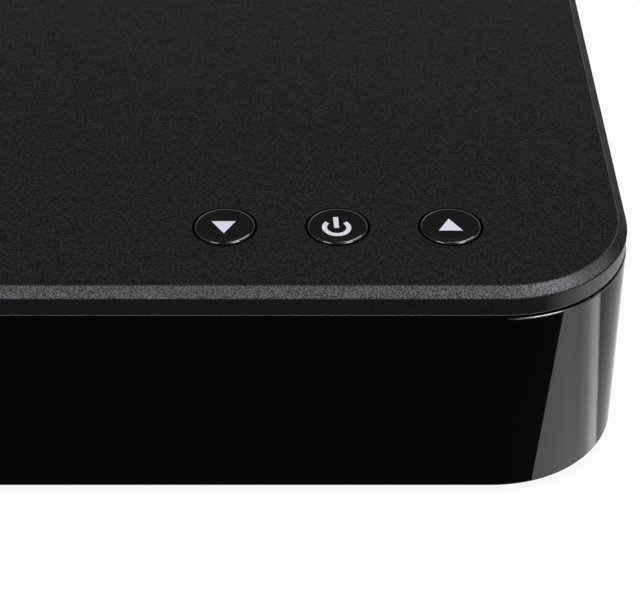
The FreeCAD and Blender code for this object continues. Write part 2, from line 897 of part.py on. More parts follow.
def switch_leads():
    leads = []
    for side in (-1, 1):
        x = switch_x + side * lead_spacing / 2.0
        z = header_top_z + lead_bend
        y0 = panel_in_y - switch_body_depth - switch_tab_length
        y1 = lead_header_y()
        path = rounded_path([vec(x, y0, z), vec(x, y1, z), vec(x, y1, header_top_z)], lead_bend)
        circle = Part.Wire(Part.makeCircle(lead_radius, vec(x, y0, z), vec(0, 1, 0)))
        leads.append(path.makePipeShell([circle], True, False))
    return leads


def processor_y():
    return board_back_y - processor_setback


def processor():
    h = processor_size / 2.0
    y = processor_y()
    return block(processor_x - h, processor_x + h, y - h, y + h, board_z, board_z + processor_height)


def heatsink():
    h = heatsink_size / 2.0
    y = processor_y()
    z = board_z + processor_height
    base = block(processor_x - h, processor_x + h, y - h, y + h, z, z + heatsink_base)
    tip = z + heatsink_base + fin_height
    pitch = (heatsink_size - fin_thickness) / (fin_count - 1)
    fins = []
    for k in range(fin_count):
        x0 = processor_x - h + k * pitch
        fins.append(block(x0, x0 + fin_thickness, y - h, y + h, z + heatsink_base, tip))
    return fuse(base, *fins)


def memory_chips():
    y = processor_y()
    chips = []
    for k in (-1, 1):
        x1 = processor_x - heatsink_size / 2.0 - memory_gap
        y0 = y + k * memory_pitch / 2.0 - memory_length / 2.0
        chips.append(block(x1 - memory_size, x1, y0, y0 + memory_length, board_z, board_z + memory_height))
    return chips


def electrolytic_capacitors():
    cans = []
    y = board_front_y + capacitor_setback
    for k in range(capacitor_count):
        x = switch_x + component_inset + capacitor_radius + k * capacitor_pitch
        can = post(x, y, board_z, board_z + capacitor_height, capacitor_radius)
        cans.append(can.makeChamfer(capacitor_bevel, edges_at(can, board_z + capacitor_height)))
    return cans


def power_inductors():
    coils = []
    h = inductor_size / 2.0
    y = board_front_y + capacitor_setback + capacitor_radius + component_gap + h
    for k in range(inductor_count):
        x = switch_x + component_inset + h + k * inductor_pitch
        coil = block(x - h, x + h, y - h, y + h, board_z, board_z + inductor_height)
        upright = [e for e in coil.Edges if e.BoundBox.ZLength > inductor_height / 2.0]
        coils.append(coil.makeFillet(inductor_round, upright))
    return coils


# ---------------------------------------------------------------- back panel and sockets

def grown_cutter(x, width, z0, height):
    """Panel cut-out for a socket that is width wide and height high from z0."""
    c = socket_clearance
    return block(x - width / 2.0 - c, x + width / 2.0 + c, panel_in_y, panel_out_y, z0 - c, z0 + height + c)


def rear_panel():
    panel = block(-panel_half_width, panel_half_width, panel_in_y, panel_out_y, floor_z, lip_z)
    cutters = [rod(x, aerial_z, panel_in_y, panel_out_y, aerial_hole_radius)
               for x in (aerial_1_x, aerial_2_x)]
    for x, width, height in ((hdmi_x, hdmi_width, hdmi_height), (lan_x, lan_width, lan_height),
                             (usb_x, usb_width, usb_height), (optical_x, optical_width, optical_height),
                             (dc_x, dc_width, dc_height)):
        cutters.append(grown_cutter(x, width, board_z, height))
    for x in (av_x, ir_x):
        cutters.append(rod(x, jack_z(), panel_in_y, panel_out_y, jack_nose_radius + socket_clearance))
    cutters.append(grown_cutter(switch_x, switch_body_width, switch_z - switch_body_height / 2.0,
                                switch_body_height))
    for k in range(panel_vent_count):
        x = panel_vent_x + (k - (panel_vent_count - 1) / 2.0) * panel_vent_pitch
        w, h = panel_vent_width / 2.0, panel_vent_height / 2.0
        z = opening_high - panel_vent_drop
        cutters.append(block(x - w, x + w, panel_in_y, panel_out_y, z - h, z + h))
    return cut(panel, *cutters)


def tuner_back_y():
    return panel_in_y - base_hex_thickness


def tuner_can(x):
    h = tuner_width / 2.0
    y1 = tuner_back_y()
    can = block(x - h, x + h, y1 - tuner_depth, y1, board_z, board_z + tuner_height)
    w = tuner_wall
    hollow = block(x - h + w, x + h - w, y1 - tuner_depth + w, y1 - w,
                   board_z, board_z + tuner_height - w)
    return cut(can, hollow)


def aerial_connector(x):
    y1 = panel_out_y + thread_reach
    neck_y1 = panel_out_y + nut_thickness + thread_relief_run
    base = hexagon_rod(x, aerial_z, tuner_back_y(), panel_in_y, base_hex)
    neck = rod(x, aerial_z, panel_in_y, neck_y1, neck_radius)
    barrel = rod(x, aerial_z, neck_y1, y1, thread_radius)
    barrel = barrel.makeChamfer(thread_chamfer, edges_at_y(barrel, y1))
    well = rod(x, aerial_z, y1 - insulator_depth, y1, insulator_radius)
    return cut(fuse(base, neck, barrel), well)


def aerial_insulator(x):
    y1 = panel_out_y + thread_reach
    plug = rod(x, aerial_z, y1 - insulator_depth, y1 - insulator_recess, insulator_radius)
    return cut(plug, rod(x, aerial_z, y1 - insulator_depth, y1, contact_hole_radius))


def aerial_nut(x):
    nut = hexagon_rod(x, aerial_z, panel_out_y, panel_out_y + nut_thickness, nut_hex)
    bore = neck_radius + nut_bore_clearance
    return cut(nut, rod(x, aerial_z, panel_out_y, panel_out_y + nut_thickness, bore))


def hdmi_socket():
    w = hdmi_width / 2.0
    y0 = mouth_y - hdmi_depth
    z1 = board_z + hdmi_height
    flare = hdmi_corner
    t = hdmi_wall

    def trapezoid(inset, y):
        low, high = board_z + inset, z1 - inset
        x = w - inset
        points = [vec(hdmi_x - x + flare, y, low), vec(hdmi_x + x - flare, y, low),
                  vec(hdmi_x + x, y, low + flare), vec(hdmi_x + x, y, high),
                  vec(hdmi_x - x, y, high), vec(hdmi_x - x, y, low + flare)]
        return Part.Face(Part.makePolygon(points + points[:1]))

    shell = trapezoid(0.0, y0).extrude(vec(0, hdmi_depth, 0))
    return cut(shell, trapezoid(t, y0 + t).extrude(vec(0, hdmi_depth, 0)))


def hdmi_tongue():
    h = hdmi_tongue_width / 2.0
    z = board_z + hdmi_height / 2.0 + hdmi_tongue_lift
    t = hdmi_tongue_thickness / 2.0
    return block(hdmi_x - h, hdmi_x + h, mouth_y - hdmi_depth + hdmi_wall, mouth_y - hdmi_tongue_recess,
                 z - t, z + t)


def usb_mouths():
    """Height of each mouth's lower edge."""
    low = board_z + (usb_height - usb_mouth_pitch - usb_mouth_height) / 2.0
    return (low, low + usb_mouth_pitch)


def usb_socket():
    w, m = usb_width / 2.0, usb_mouth_width / 2.0
    shell = block(usb_x - w, usb_x + w, mouth_y - usb_depth, mouth_y, board_z, board_z + usb_height)
    wells = [block(usb_x - m, usb_x + m, mouth_y - usb_mouth_depth, mouth_y, z, z + usb_mouth_height)
             for z in usb_mouths()]
    return cut(shell, *wells)


def usb_tongues():
    h = usb_tongue_width / 2.0
    made = []
    for z in usb_mouths():
        z1 = z + usb_mouth_height - usb_tongue_gap
        made.append(block(usb_x - h, usb_x + h, mouth_y - usb_mouth_depth, mouth_y - usb_tongue_recess,
                          z1 - usb_tongue_thickness, z1))
    return made


def lan_floor_z():
    return board_z + lan_cavity_floor + lan_latch_height


def lan_socket():
    w, c, n = lan_width / 2.0, lan_cavity_width / 2.0, lan_latch_width / 2.0
    shell = block(lan_x - w, lan_x + w, mouth_y - lan_depth, mouth_y, board_z, board_z + lan_height)
    z0 = lan_floor_z()
    cavity = block(lan_x - c, lan_x + c, mouth_y - lan_cavity_depth, mouth_y, z0, z0 + lan_cavity_height)
    notch = block(lan_x - n, lan_x + n, mouth_y - lan_cavity_depth, mouth_y, z0 - lan_latch_height, z0)
    return cut(shell, cavity, notch)


def lan_contacts():
    """Sprung wires that slope down from the cavity's roof."""
    wires = []
    top = lan_floor_z() + lan_cavity_height
    for k in range(lan_contact_count):
        x = lan_x + (k - (lan_contact_count - 1) / 2.0) * lan_contact_pitch
        start = vec(x, mouth_y - lan_cavity_depth + lan_contact_radius, top - lan_contact_drop)
        way = vec(0, lan_contact_run, lan_contact_drop - lan_contact_radius * 2)
        wires.append(Part.makeCylinder(lan_contact_radius, way.Length, start, way))
    return wires


def optical_places():
    """Heights of the optical socket's cavity floor, mouth middle and shutter pivot, and the pivot's y."""
    floor = board_z + optical_floor
    middle = floor + optical_cavity / 2.0
    pivot_z = floor + optical_cavity + shutter_pivot_lift
    pivot_y = mouth_y - optical_lip - shutter_gap - shutter_pivot_radius
    return floor, middle, pivot_z, pivot_y


def optical_socket():
    floor, middle, pivot_z, pivot_y = optical_places()
    w, c, m = optical_width / 2.0, optical_cavity / 2.0, optical_mouth / 2.0
    body = block(optical_x - w, optical_x + w, mouth_y - optical_depth, mouth_y,
                 board_z, board_z + optical_height)
    roof = pivot_z + shutter_pivot_radius + shutter_gap
    cavity = block(optical_x - c, optical_x + c, mouth_y - optical_lip - optical_cavity_depth,
                   mouth_y - optical_lip, floor, roof)
    mouth = block(optical_x - m, optical_x + m, mouth_y - optical_lip, mouth_y, middle - m, middle + m)
    reach = c + shutter_pivot_length
    holes = Part.makeCylinder(shutter_pivot_radius + shutter_pivot_clearance, 2 * reach,
                              vec(optical_x - reach, pivot_y, pivot_z), vec(1, 0, 0))
    return cut(body, cavity, mouth, holes)


def optical_shutter():
    floor, middle, pivot_z, pivot_y = optical_places()
    h = optical_cavity / 2.0 - shutter_gap
    half = shutter_thickness / 2.0
    flap = block(optical_x - h, optical_x + h, pivot_y - half, pivot_y + half,
                 floor + shutter_floor_gap, pivot_z)
    reach = optical_cavity / 2.0 + shutter_pivot_length - shutter_gap
    pin = Part.makeCylinder(shutter_pivot_radius, 2 * reach,
                            vec(optical_x - reach, pivot_y, pivot_z), vec(1, 0, 0))
    return fuse(flap, pin)


def jack_z():
    return board_z + jack_height / 2.0


def round_jack(x):
    w = jack_width / 2.0
    block_y1 = panel_in_y - jack_body_gap
    body = block(x - w, x + w, mouth_y - jack_depth, block_y1, board_z, board_z + jack_height)
    nose = rod(x, jack_z(), block_y1 - jack_nose_root, mouth_y, jack_nose_radius)
    bore = rod(x, jack_z(), mouth_y - jack_bore_depth, mouth_y, jack_bore_radius)
    return cut(fuse(body, nose), bore)


def dc_z():
    return board_z + dc_height / 2.0


def dc_jack():
    w = dc_width / 2.0
    body = block(dc_x - w, dc_x + w, mouth_y - dc_depth, mouth_y, board_z, board_z + dc_height)
    return cut(body, rod(dc_x, dc_z(), mouth_y - dc_bore_depth, mouth_y, dc_bore_radius))


def dc_jack_pin():
    pin = rod(dc_x, dc_z(), mouth_y - dc_bore_depth, mouth_y - dc_pin_recess, dc_pin_radius)
    return pin.makeChamfer(dc_pin_chamfer, edges_at_y(pin, mouth_y - dc_pin_recess))


# ---------------------------------------------------------------- power switch

def rocker_pivot_y():
    return panel_out_y + switch_bezel_thickness - rocker_pivot_depth


def switch_cavity_half_width():
    return switch_body_width / 2.0 - switch_wall


def switch_housing():
    w, h = switch_body_width / 2.0, switch_body_height / 2.0
    bw, bh = switch_bezel_width / 2.0, switch_bezel_height / 2.0
    face_y = panel_out_y + switch_bezel_thickness
    body = block(switch_x - w, switch_x + w, panel_in_y - switch_body_depth, panel_out_y,
                 switch_z - h, switch_z + h)
    bezel = block(switch_x - bw, switch_x + bw, panel_out_y, face_y, switch_z - bh, switch_z + bh)
    bezel = bezel.makeChamfer(switch_bezel_bevel, edges_at_y(bezel, face_y))
    cw, ch = switch_cavity_half_width(), rocker_radius + rocker_end_clearance
    low_y = rocker_pivot_y() - rocker_radius - rocker_end_clearance
    cavity = block(switch_x - cw, switch_x + cw, low_y, face_y, switch_z - ch, switch_z + ch)
    reach = cw + rocker_pin_length + rocker_pin_clearance
    holes = Part.makeCylinder(rocker_pin_radius + rocker_pin_clearance, 2 * reach,
                              vec(switch_x - reach, rocker_pivot_y(), switch_z), vec(1, 0, 0))
    tabs = []
    tz = header_top_z + lead_bend
    for side in (-1, 1):
        x = switch_x + side * lead_spacing / 2.0
        y1 = panel_in_y - switch_body_depth
        tw, th = switch_tab_thickness / 2.0, switch_tab_width / 2.0
        tabs.append(block(x - tw, x + tw, y1 - switch_tab_length, y1, tz - th, tz + th))
    return fuse(cut(fuse(body, bezel), cavity, holes), *tabs)


def switch_rocker():
    """Drawn level, then turned on its pivot so that its upper half is pressed in."""
    width = switch_cavity_half_width() - rocker_side_clearance
    y, z = rocker_pivot_y(), switch_z
    drum = Part.makeCylinder(rocker_radius, 2 * width, vec(switch_x - width, y, z), vec(1, 0, 0))
    crown = rocker_pivot_depth + rocker_crown
    rise = rocker_radius * math.tan(math.radians(rocker_slope))
    points = [vec(switch_x - width, y - rocker_back, z - rocker_radius),
              vec(switch_x - width, y + crown + rise, z - rocker_radius),
              vec(switch_x - width, y + crown, z),
              vec(switch_x - width, y + crown + rise, z + rocker_radius),
              vec(switch_x - width, y - rocker_back, z + rocker_radius)]
    wedge = Part.Face(Part.makePolygon(points + points[:1])).extrude(vec(2 * width, 0, 0))
    reach = switch_cavity_half_width() + rocker_pin_length
    pins = Part.makeCylinder(rocker_pin_radius, 2 * reach, vec(switch_x - reach, y, z), vec(1, 0, 0))
    rocker = fuse(drum.common(wedge), pins)
    rocker.rotate(vec(switch_x, y, z), vec(1, 0, 0), rocker_slope)
    return rocker


# ---------------------------------------------------------------- build

def main():
    os.makedirs("parts", exist_ok=True)
    save("top_cover", top_cover())
    save("gloss_frame", gloss_frame())
    save("display_window", display_window())
    save("base_tray", base_tray())
    save("rear_panel", rear_panel())
    names = ("front_left", "front_right", "rear_left", "rear_right")
    for name, (x, y) in zip(names, corners(foot_inset, foot_inset)):
        save("foot_" + name, foot(x, y))
    save("case_screws", *case_screws())
    for name, x in key_places.items():
        save("button_" + name, key_cap(x))
        save("push_switch_" + name, push_switch(x))
        save("plunger_" + name, plunger(x))
    save("key_board", key_board())
    save("key_board_screws", *key_board_screws())
    save("key_ribbon", key_ribbon())
    save("display_board", display_board())
    save("digit_display", digit_display())
    save("infrared_receiver", infrared_receiver())
    save("status_led", status_led())
    save("display_ribbon", display_ribbon())
    save("main_board", main_board())
    save("board_screws", *board_screws())
    save("board_headers", *board_headers())
    save("processor", processor())
    save("heatsink", heatsink())
    save("memory_chips", *memory_chips())
    save("electrolytic_capacitors", *electrolytic_capacitors())
    save("power_inductors", *power_inductors())
    for name, x in (("1", aerial_1_x), ("2", aerial_2_x)):
        save("tuner_can_" + name, tuner_can(x))
        save("aerial_connector_" + name, aerial_connector(x))
    save("aerial_insulators", aerial_insulator(aerial_1_x), aerial_insulator(aerial_2_x))
    save("aerial_nuts", aerial_nut(aerial_1_x), aerial_nut(aerial_2_x))
    save("hdmi_socket", hdmi_socket())
    save("usb_socket", usb_socket())
    save("socket_tongues", hdmi_tongue(), *usb_tongues())
    save("lan_socket", lan_socket())
    save("lan_contacts", *lan_contacts())
    save("optical_socket", optical_socket())
    save("optical_shutter", optical_shutter())
    save("av_jack", round_jack(av_x))
    save("ir_jack", round_jack(ir_x))
    save("dc_jack", dc_jack())
    save("dc_jack_pin", dc_jack_pin())
    save("power_switch_housing", switch_housing())
    save("power_switch_rocker", switch_rocker())
    save("switch_leads", *switch_leads())


main()
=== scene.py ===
import math

import bmesh
import bpy
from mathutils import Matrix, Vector


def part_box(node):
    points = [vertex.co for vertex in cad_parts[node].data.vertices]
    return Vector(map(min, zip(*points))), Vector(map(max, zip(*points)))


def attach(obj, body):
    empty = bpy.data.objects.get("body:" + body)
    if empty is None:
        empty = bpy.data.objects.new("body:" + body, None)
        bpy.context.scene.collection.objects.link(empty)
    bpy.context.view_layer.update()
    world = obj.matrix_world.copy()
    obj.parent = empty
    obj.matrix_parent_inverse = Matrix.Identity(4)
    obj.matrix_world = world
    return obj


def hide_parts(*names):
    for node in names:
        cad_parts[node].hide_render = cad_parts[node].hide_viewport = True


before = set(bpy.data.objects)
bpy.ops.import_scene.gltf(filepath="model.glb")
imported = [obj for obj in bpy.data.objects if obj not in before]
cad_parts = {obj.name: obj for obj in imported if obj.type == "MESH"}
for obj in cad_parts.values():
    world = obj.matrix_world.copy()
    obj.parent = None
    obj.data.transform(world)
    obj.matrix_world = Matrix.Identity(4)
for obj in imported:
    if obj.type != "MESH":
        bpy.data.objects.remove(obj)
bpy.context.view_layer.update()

# A satellite TV receiver, seen from above its right front corner.
# Metres. +Z is up, -Y is the front, +X is the right-hand side seen from the front.

MM = 0.001

# ---------------------------------------------------------------- sizes

# keys
KEYS = ("down", "power", "up")
KEY_SETBACK = 16.9 * MM           # lid's front edge to the row of keys
KEY_FLANGE_RADIUS = 6.0 * MM      # the flange holds the key under the lid
KEY_FLANGE_THICKNESS = 1.0 * MM
KEY_RADIUS = 4.8 * MM
KEY_STAND_OUT = 0.25 * MM         # above the lid
KEY_STEM_RADIUS = 1.7 * MM
KEY_TAB_WIDTH = 1.6 * MM          # the tab keeps the key from turning
KEY_SIDES = 96
LID_PLATE = 2.2 * MM              # thickness of the lid round the keys
KEY_EDGE_DROP = 0.25 * MM         # the rounded edge, seen from the side
KEY_EDGE_RUN = 0.50 * MM          # and from above
KEY_EDGE_STEPS = 10
KEY_DISH_DEPTH = 0.05 * MM        # the finger dish in the cap's top
KEY_DISH_RADIUS = 4.25 * MM
KEY_DISH_FLOOR = 3.4 * MM         # radius of the dish's level middle
KEY_DISH_STEPS = 6

# signs printed on the keys
ICON_THICKNESS = 0.02 * MM
ICON_LEAN = 0.055                 # they lean slightly to the left
ICON_OFFSETS = {                  # from the key's middle
    "down": (-0.18 * MM, 0.10 * MM),
    "power": (-0.20 * MM, -0.16 * MM),
    "up": (-0.11 * MM, -0.26 * MM),
}
ARROW_WIDTH = 3.85 * MM
ARROW_HEIGHT = 3.25 * MM
RING_RADIUS = 2.33 * MM           # outer radius of the power sign
RING_STROKE = 0.79 * MM
RING_OPENING = math.radians(46)   # half of the gap at the sign's top
RING_DROP = 0.35 * MM             # ring's middle in front of the key's middle
RING_STEPS = 48
BAR_LOW = -0.1 * MM
BAR_HIGH = 2.85 * MM

# aerial connectors, 3/8-32 thread
THREAD_RADIUS = 4.7625 * MM
THREAD_PITCH = 25.4 / 32 * MM
THREAD_DEPTH = 0.4 * MM
THREAD_STEEPNESS = 2.6            # a flank takes the pitch over this
THREAD_ROWS = 10                  # mesh rows in one turn
THREAD_SIDES = 72
NECK_RADIUS = 4.5125 * MM
NECK_REACH = 2.5 * MM             # neck beyond the back panel
BASE_THICKNESS = 2.5 * MM
BASE_ACROSS_FLATS = 12.0 * MM
BASE_ROUND = 0.25 * MM
BASE_ROUND_STEPS = 2
TIP_CHAMFER = 0.4 * MM
WELL_RADIUS = 3.4 * MM
WELL_DEPTH = 8.0 * MM

# socket contacts
CONTACT_THICKNESS = 0.12 * MM
CONTACT_SETBACK = 0.5 * MM        # from the tongue's tip
USB_CONTACT_WIDTH = 1.1 * MM
USB_CONTACT_PLACES = (-3.5 * MM, -1.0 * MM, 1.0 * MM, 3.5 * MM)
USB_MOUTH_PITCH = 7.8 * MM
USB_TONGUE_THICKNESS = 1.9 * MM
USB_TONGUE_SETBACK = 0.8 * MM     # socket's mouth to the tongue's tip
USB_CONTACT_LENGTH = 7.5 * MM
HDMI_CONTACT_WIDTH = 0.45 * MM
HDMI_CONTACT_PITCH = 1.0 * MM
HDMI_CONTACT_COUNT = 10           # in the upper row; the lower row has one fewer
HDMI_TONGUE_THICKNESS = 1.3 * MM
HDMI_CONTACT_LENGTH = 6.0 * MM

# digits of the display
DIGIT_COUNT = 4
DIGIT_PITCH = 6.4 * MM
DIGIT_WIDTH = 4.2 * MM
DIGIT_HEIGHT = 7.6 * MM
SEGMENT_WIDTH = 0.8 * MM
SEGMENT_GAP = 0.12 * MM
SEGMENT_THICKNESS = 0.05 * MM
COLON_RADIUS = 0.45 * MM
COLON_RISE = (DIGIT_HEIGHT - SEGMENT_WIDTH) / 5   # of each dot above or below the middle
COLON_STEPS = 16

# signs on the power rocker
ROCKER_MARK_HEIGHT = 2.6 * MM
ROCKER_MARK_STROKE = 0.45 * MM
ROCKER_MARK_OFFSET = 3.1 * MM     # from the rocker's middle
ROCKER_MARK_THICKNESS = 0.03 * MM
ROCKER_RING_STEPS = 24
ROCKER_CLEARANCE = 1 * MM         # rays to the rocker's faces start this far behind it
WELD_DISTANCE = 0.001 * MM        # points of the signs nearer than this are one

# edges that turn by more than this stay sharp
CREASE = math.radians(30)
BARREL_CREASE = math.radians(50)

# camera: places are from the middle of the power key, at the lid's top face
IMAGE_WIDTH = 640
FOCAL_PIXELS = 1792.6
SENSOR_WIDTH = 36.0               # millimetres, as Blender gives lenses
CAMERA_OFFSET = Vector((-2.826, -232.498, 166.477)) * MM
CAMERA_ELEVATION = math.radians(38.170)
CAMERA_CLIP = (0.01, 30.0)        # nearest and farthest distance in view

# room
FLOOR_RADIUS = 4.0
FLOOR_SIDES = 96
FLOOR_STEPS = 8                   # rings of the level floor, and of the cove round it
COVE_RADIUS = 0.8
WALL_HEIGHT = 2.4
FLOOR_TONE = 0.94
FLOOR_PATCH = 0.4                 # size of the floor's faint patches
FLOOR_CONTRAST = 0.01
FLOOR_WHITE_SHARE = 0.90          # part of the floor's tone that no shadow reaches
WORLD_LEVEL = 0.2
LAMP_DISTANCE = 3.2
LAMPS = (                         # name, azimuth, elevation, size, share of the light
    ("front_softbox", -50, 52, 1.2, 0.26),
    ("right_softbox", 50, 49, 1.2, 0.36),
    ("back_softbox", 150, 60, 1.4, 0.22),
)

lid_low, lid_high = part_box("top_cover")
key_row_y = lid_low.y + KEY_SETBACK


def key_middle(which):
    """Middle of a key at the height of the lid's top face."""
    low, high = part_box("button_" + which)
    return Vector(((low.x + high.x) / 2, key_row_y, lid_high.z))


# ---------------------------------------------------------------- sizes and tones of the looks

# A facing is the least and the greatest upward facing of a surface, and how soft both limits are.
# A spread is the part of a noise, each way from its middle, that takes up the whole contrast.
# Sideways facing is 0 to the front, the back, up or down, and 1 to the left or right.

NOISE_MIDDLE = 0.5
NOISE_SPREAD = 0.2                # most of a noise lies in it
NOISE_LOW = NOISE_MIDDLE - NOISE_SPREAD
NOISE_HIGH = NOISE_MIDDLE + NOISE_SPREAD
STUDIO_TINT = (0.96, 0.93, 1.0, 1.0)      # the room's colour in the gloss of the lid and the frame

# lid's top
LID_TONE = (0.0084, 0.0071, 0.0085)
LID_MOTTLE = 0.5 * MM
LID_CONTRAST = 0.95               # of the tones of the top, the walls and the bevel
LID_SPREAD = 0.14
LID_GLOSS = 0.06
LID_ROUGHNESS = 0.56
LID_PATCH = 2 * MM                # patches of even roughness
LID_PATCH_CHANGE = 0.04
SPARK_GRAIN = 0.21 * MM           # the moulded grain of the whole lid
SPARK_RELIEF = 0.07 * MM
SPARK_FADE = (0.12, 0.42)         # sideways facing over which the grain turns finer
SPARK_LEFT = 0.5                  # part of it that is left there

# lid's walls and their lowest edge
WALL_FACING = (-0.3, 0.3, 0.15)
# painted shade: the lid's walls take a darker tone than its top, for the shade they are in
WALL_SHADE_TONE = (0.0030, 0.0027, 0.0031)
WALL_SPREAD = 0.1
WALL_SHINE = 0.72
WALL_SHINE_START = (95 * MM, 102 * MM)    # from the middle; the lid's walls shine from here out
FOOT_FACING = (-0.9, -0.25, 0.1)
FOOT_HIGHLIGHT_TONE = (0.20, 0.20, 0.21)    # painted highlight along the walls' lowest edge
FOOT_CONTRAST = 0.5

# lid's bevel
BEVEL_FACING = (0.45, 0.88, 0.12)
BEVEL_FADE = (0.50, 0.64)         # sideways facing over which the bevel turns as dull as the lid
# painted highlight: the bevel takes a lighter tone than the top for the light it catches; it fades out
# over BEVEL_FADE on the left and right
BEVEL_HIGHLIGHT_TONE = (0.031, 0.029, 0.032)
BEVEL_SPREAD = 0.09
BEVEL_ROUGHNESS = 0.36            # the walls have it too
BEVEL_SPARKLE = (0.5, 1.5, 0.40, 0.60)    # times the gloss, where the grain runs from 0.40 to 0.60
BEVEL_BANDS = (                   # sideways facing, gloss
    (0.0, 0.50), (0.20, 0.52), (0.38, 0.75), (0.47, 0.80), (0.52, 0.65), (0.60, 0.10), (0.68, 0.0),
)

# gloss frame
FRAME_TONE = (0.0006, 0.0008, 0.0012)
FRAME_ROUGHNESS = 0.03
FRAME_WALL_FACING = (-0.2, 0.2, 0.1)
FRAME_BACK_FADE = (0.70, 0.86)    # backward facing over which the frame turns duller
FRAME_BACK_GLOSS = 0.2            # part of the gloss that is left there
PANE_END = 95.3 * MM              # half width of the front pane at the table's height
PANE_END_SLOPE = 0.078            # how its ends lean outwards
PANE_BACK = -60.0 * MM            # the pane lies in front of this
PANE_SHINE = 0.014
CORNER_BANDS = (                  # sideways facing, gloss
    (0.53, 0.78), (0.60, 0.55), (0.66, 0.78), (0.72, 1.0), (0.755, 1.0), (0.775, 0.07), (1.0, 0.06),
)
CORNER_GLINT = (                  # sideways facing, lacquer
    (0.67, 0.0), (0.72, 1.0), (0.755, 1.0), (0.775, 0.0),
)
BAND_HEIGHT = 24 * MM             # here the bands lie as listed
BAND_LEAN = 3.2                   # they move round the corner by this much per metre downwards
EDGE_SHINE = 2.6                  # gloss of the frame's upper edge where it turns round the corner
EDGE_SHINE_START = (89 * MM, 92.2 * MM)   # from the middle
EDGE_SHINE_END = (97.5 * MM, 101 * MM)

# keys
KEY_TONE = (0.0045, 0.0042, 0.0048)
KEY_ROUGHNESS = 0.10
KEY_GLOSS = 0.17
KEY_TOP_FACING = (0.97, 2.0, 0.02)        # with no upper limit
KEY_RIM_BANDS = (                 # way round the key, gloss; 0 and 1 are its front and 0.5 its back
    (0.0, 0.10), (0.04, 0.75), (0.11, 0.75), (0.15, 0.25), (0.20, 0.05), (0.29, 0.05), (0.35, 0.6),
    (0.41, 1.0), (0.46, 0.7), (0.50, 0.25), (0.58, 0.35), (0.66, 0.08), (0.80, 0.05), (0.86, 0.9),
    (0.95, 1.0), (1.0, 0.10),
)

# polished plastic
CLOUD_SIZE = 30 * MM              # slow changes of tone
CLOUD_CONTRAST = 0.2
WIPE_SIZE = 6 * MM
WIPE_STRETCH = (3, 1, 1)
WIPE_CHANGE = 0.4                 # part of the roughness
PEEL_SIZE = 2.5 * MM              # orange peel
PEEL_RELIEF = 0.0004 * MM

# moulded plastic
MOULD_PATCH = 6                   # grains across a patch of even roughness
MOULD_CHANGE = 0.05

# metal
METAL_PATCH = 20                  # scratches across a patch of even tone
METAL_DARK = 0.92                 # part of the tone in the darker patches
SCRATCH_CHANGE = 0.3              # part of the roughness
SCRATCH_RELIEF = 0.002 * MM

# painted sheet
PEBBLE_SIZE = 0.5 * MM
PEBBLE_CONTRAST = 0.25
PEBBLE_RELIEF = 0.02 * MM
PAINT_PATCH = 4 * MM              # patches of even roughness
PAINT_DULLEST = 0.08              # roughness above its mean
PAINT_SHINIEST = 0.05             # and below it

# printed boards
TRACK_PITCH = 9 * MM
TRACK_WIDTH = 0.05                # part of the pitch
TRACK_HEIGHT = 0.02 * MM
BOARD_TONES = {
    "Color1": (0.010, 0.075, 0.030, 1),
    "Color2": (0.012, 0.090, 0.036, 1),
    "Mortar": (0.030, 0.170, 0.070, 1),
}
BOARD_PATCH = 1.5 * MM            # patches of even roughness
BOARD_ROUGHNESS = (0.30, 0.42)

# ribbon cables
CORE_PITCH = 1.27 * MM
CORE_RELIEF = 0.15 * MM
WAVE_RATE = 20                    # radians by which a wave texture moves on in one unit
# painted shade: the grooves between the cores take a darker tone than the ridges
GROOVE_SHADE_TONE = (0.42, 0.42, 0.41)
RIDGE_TONE = (0.74, 0.74, 0.72)
RIDGE_START = 0.6                 # height of the wave from which the ridge's tone is full


# ---------------------------------------------------------------- materials

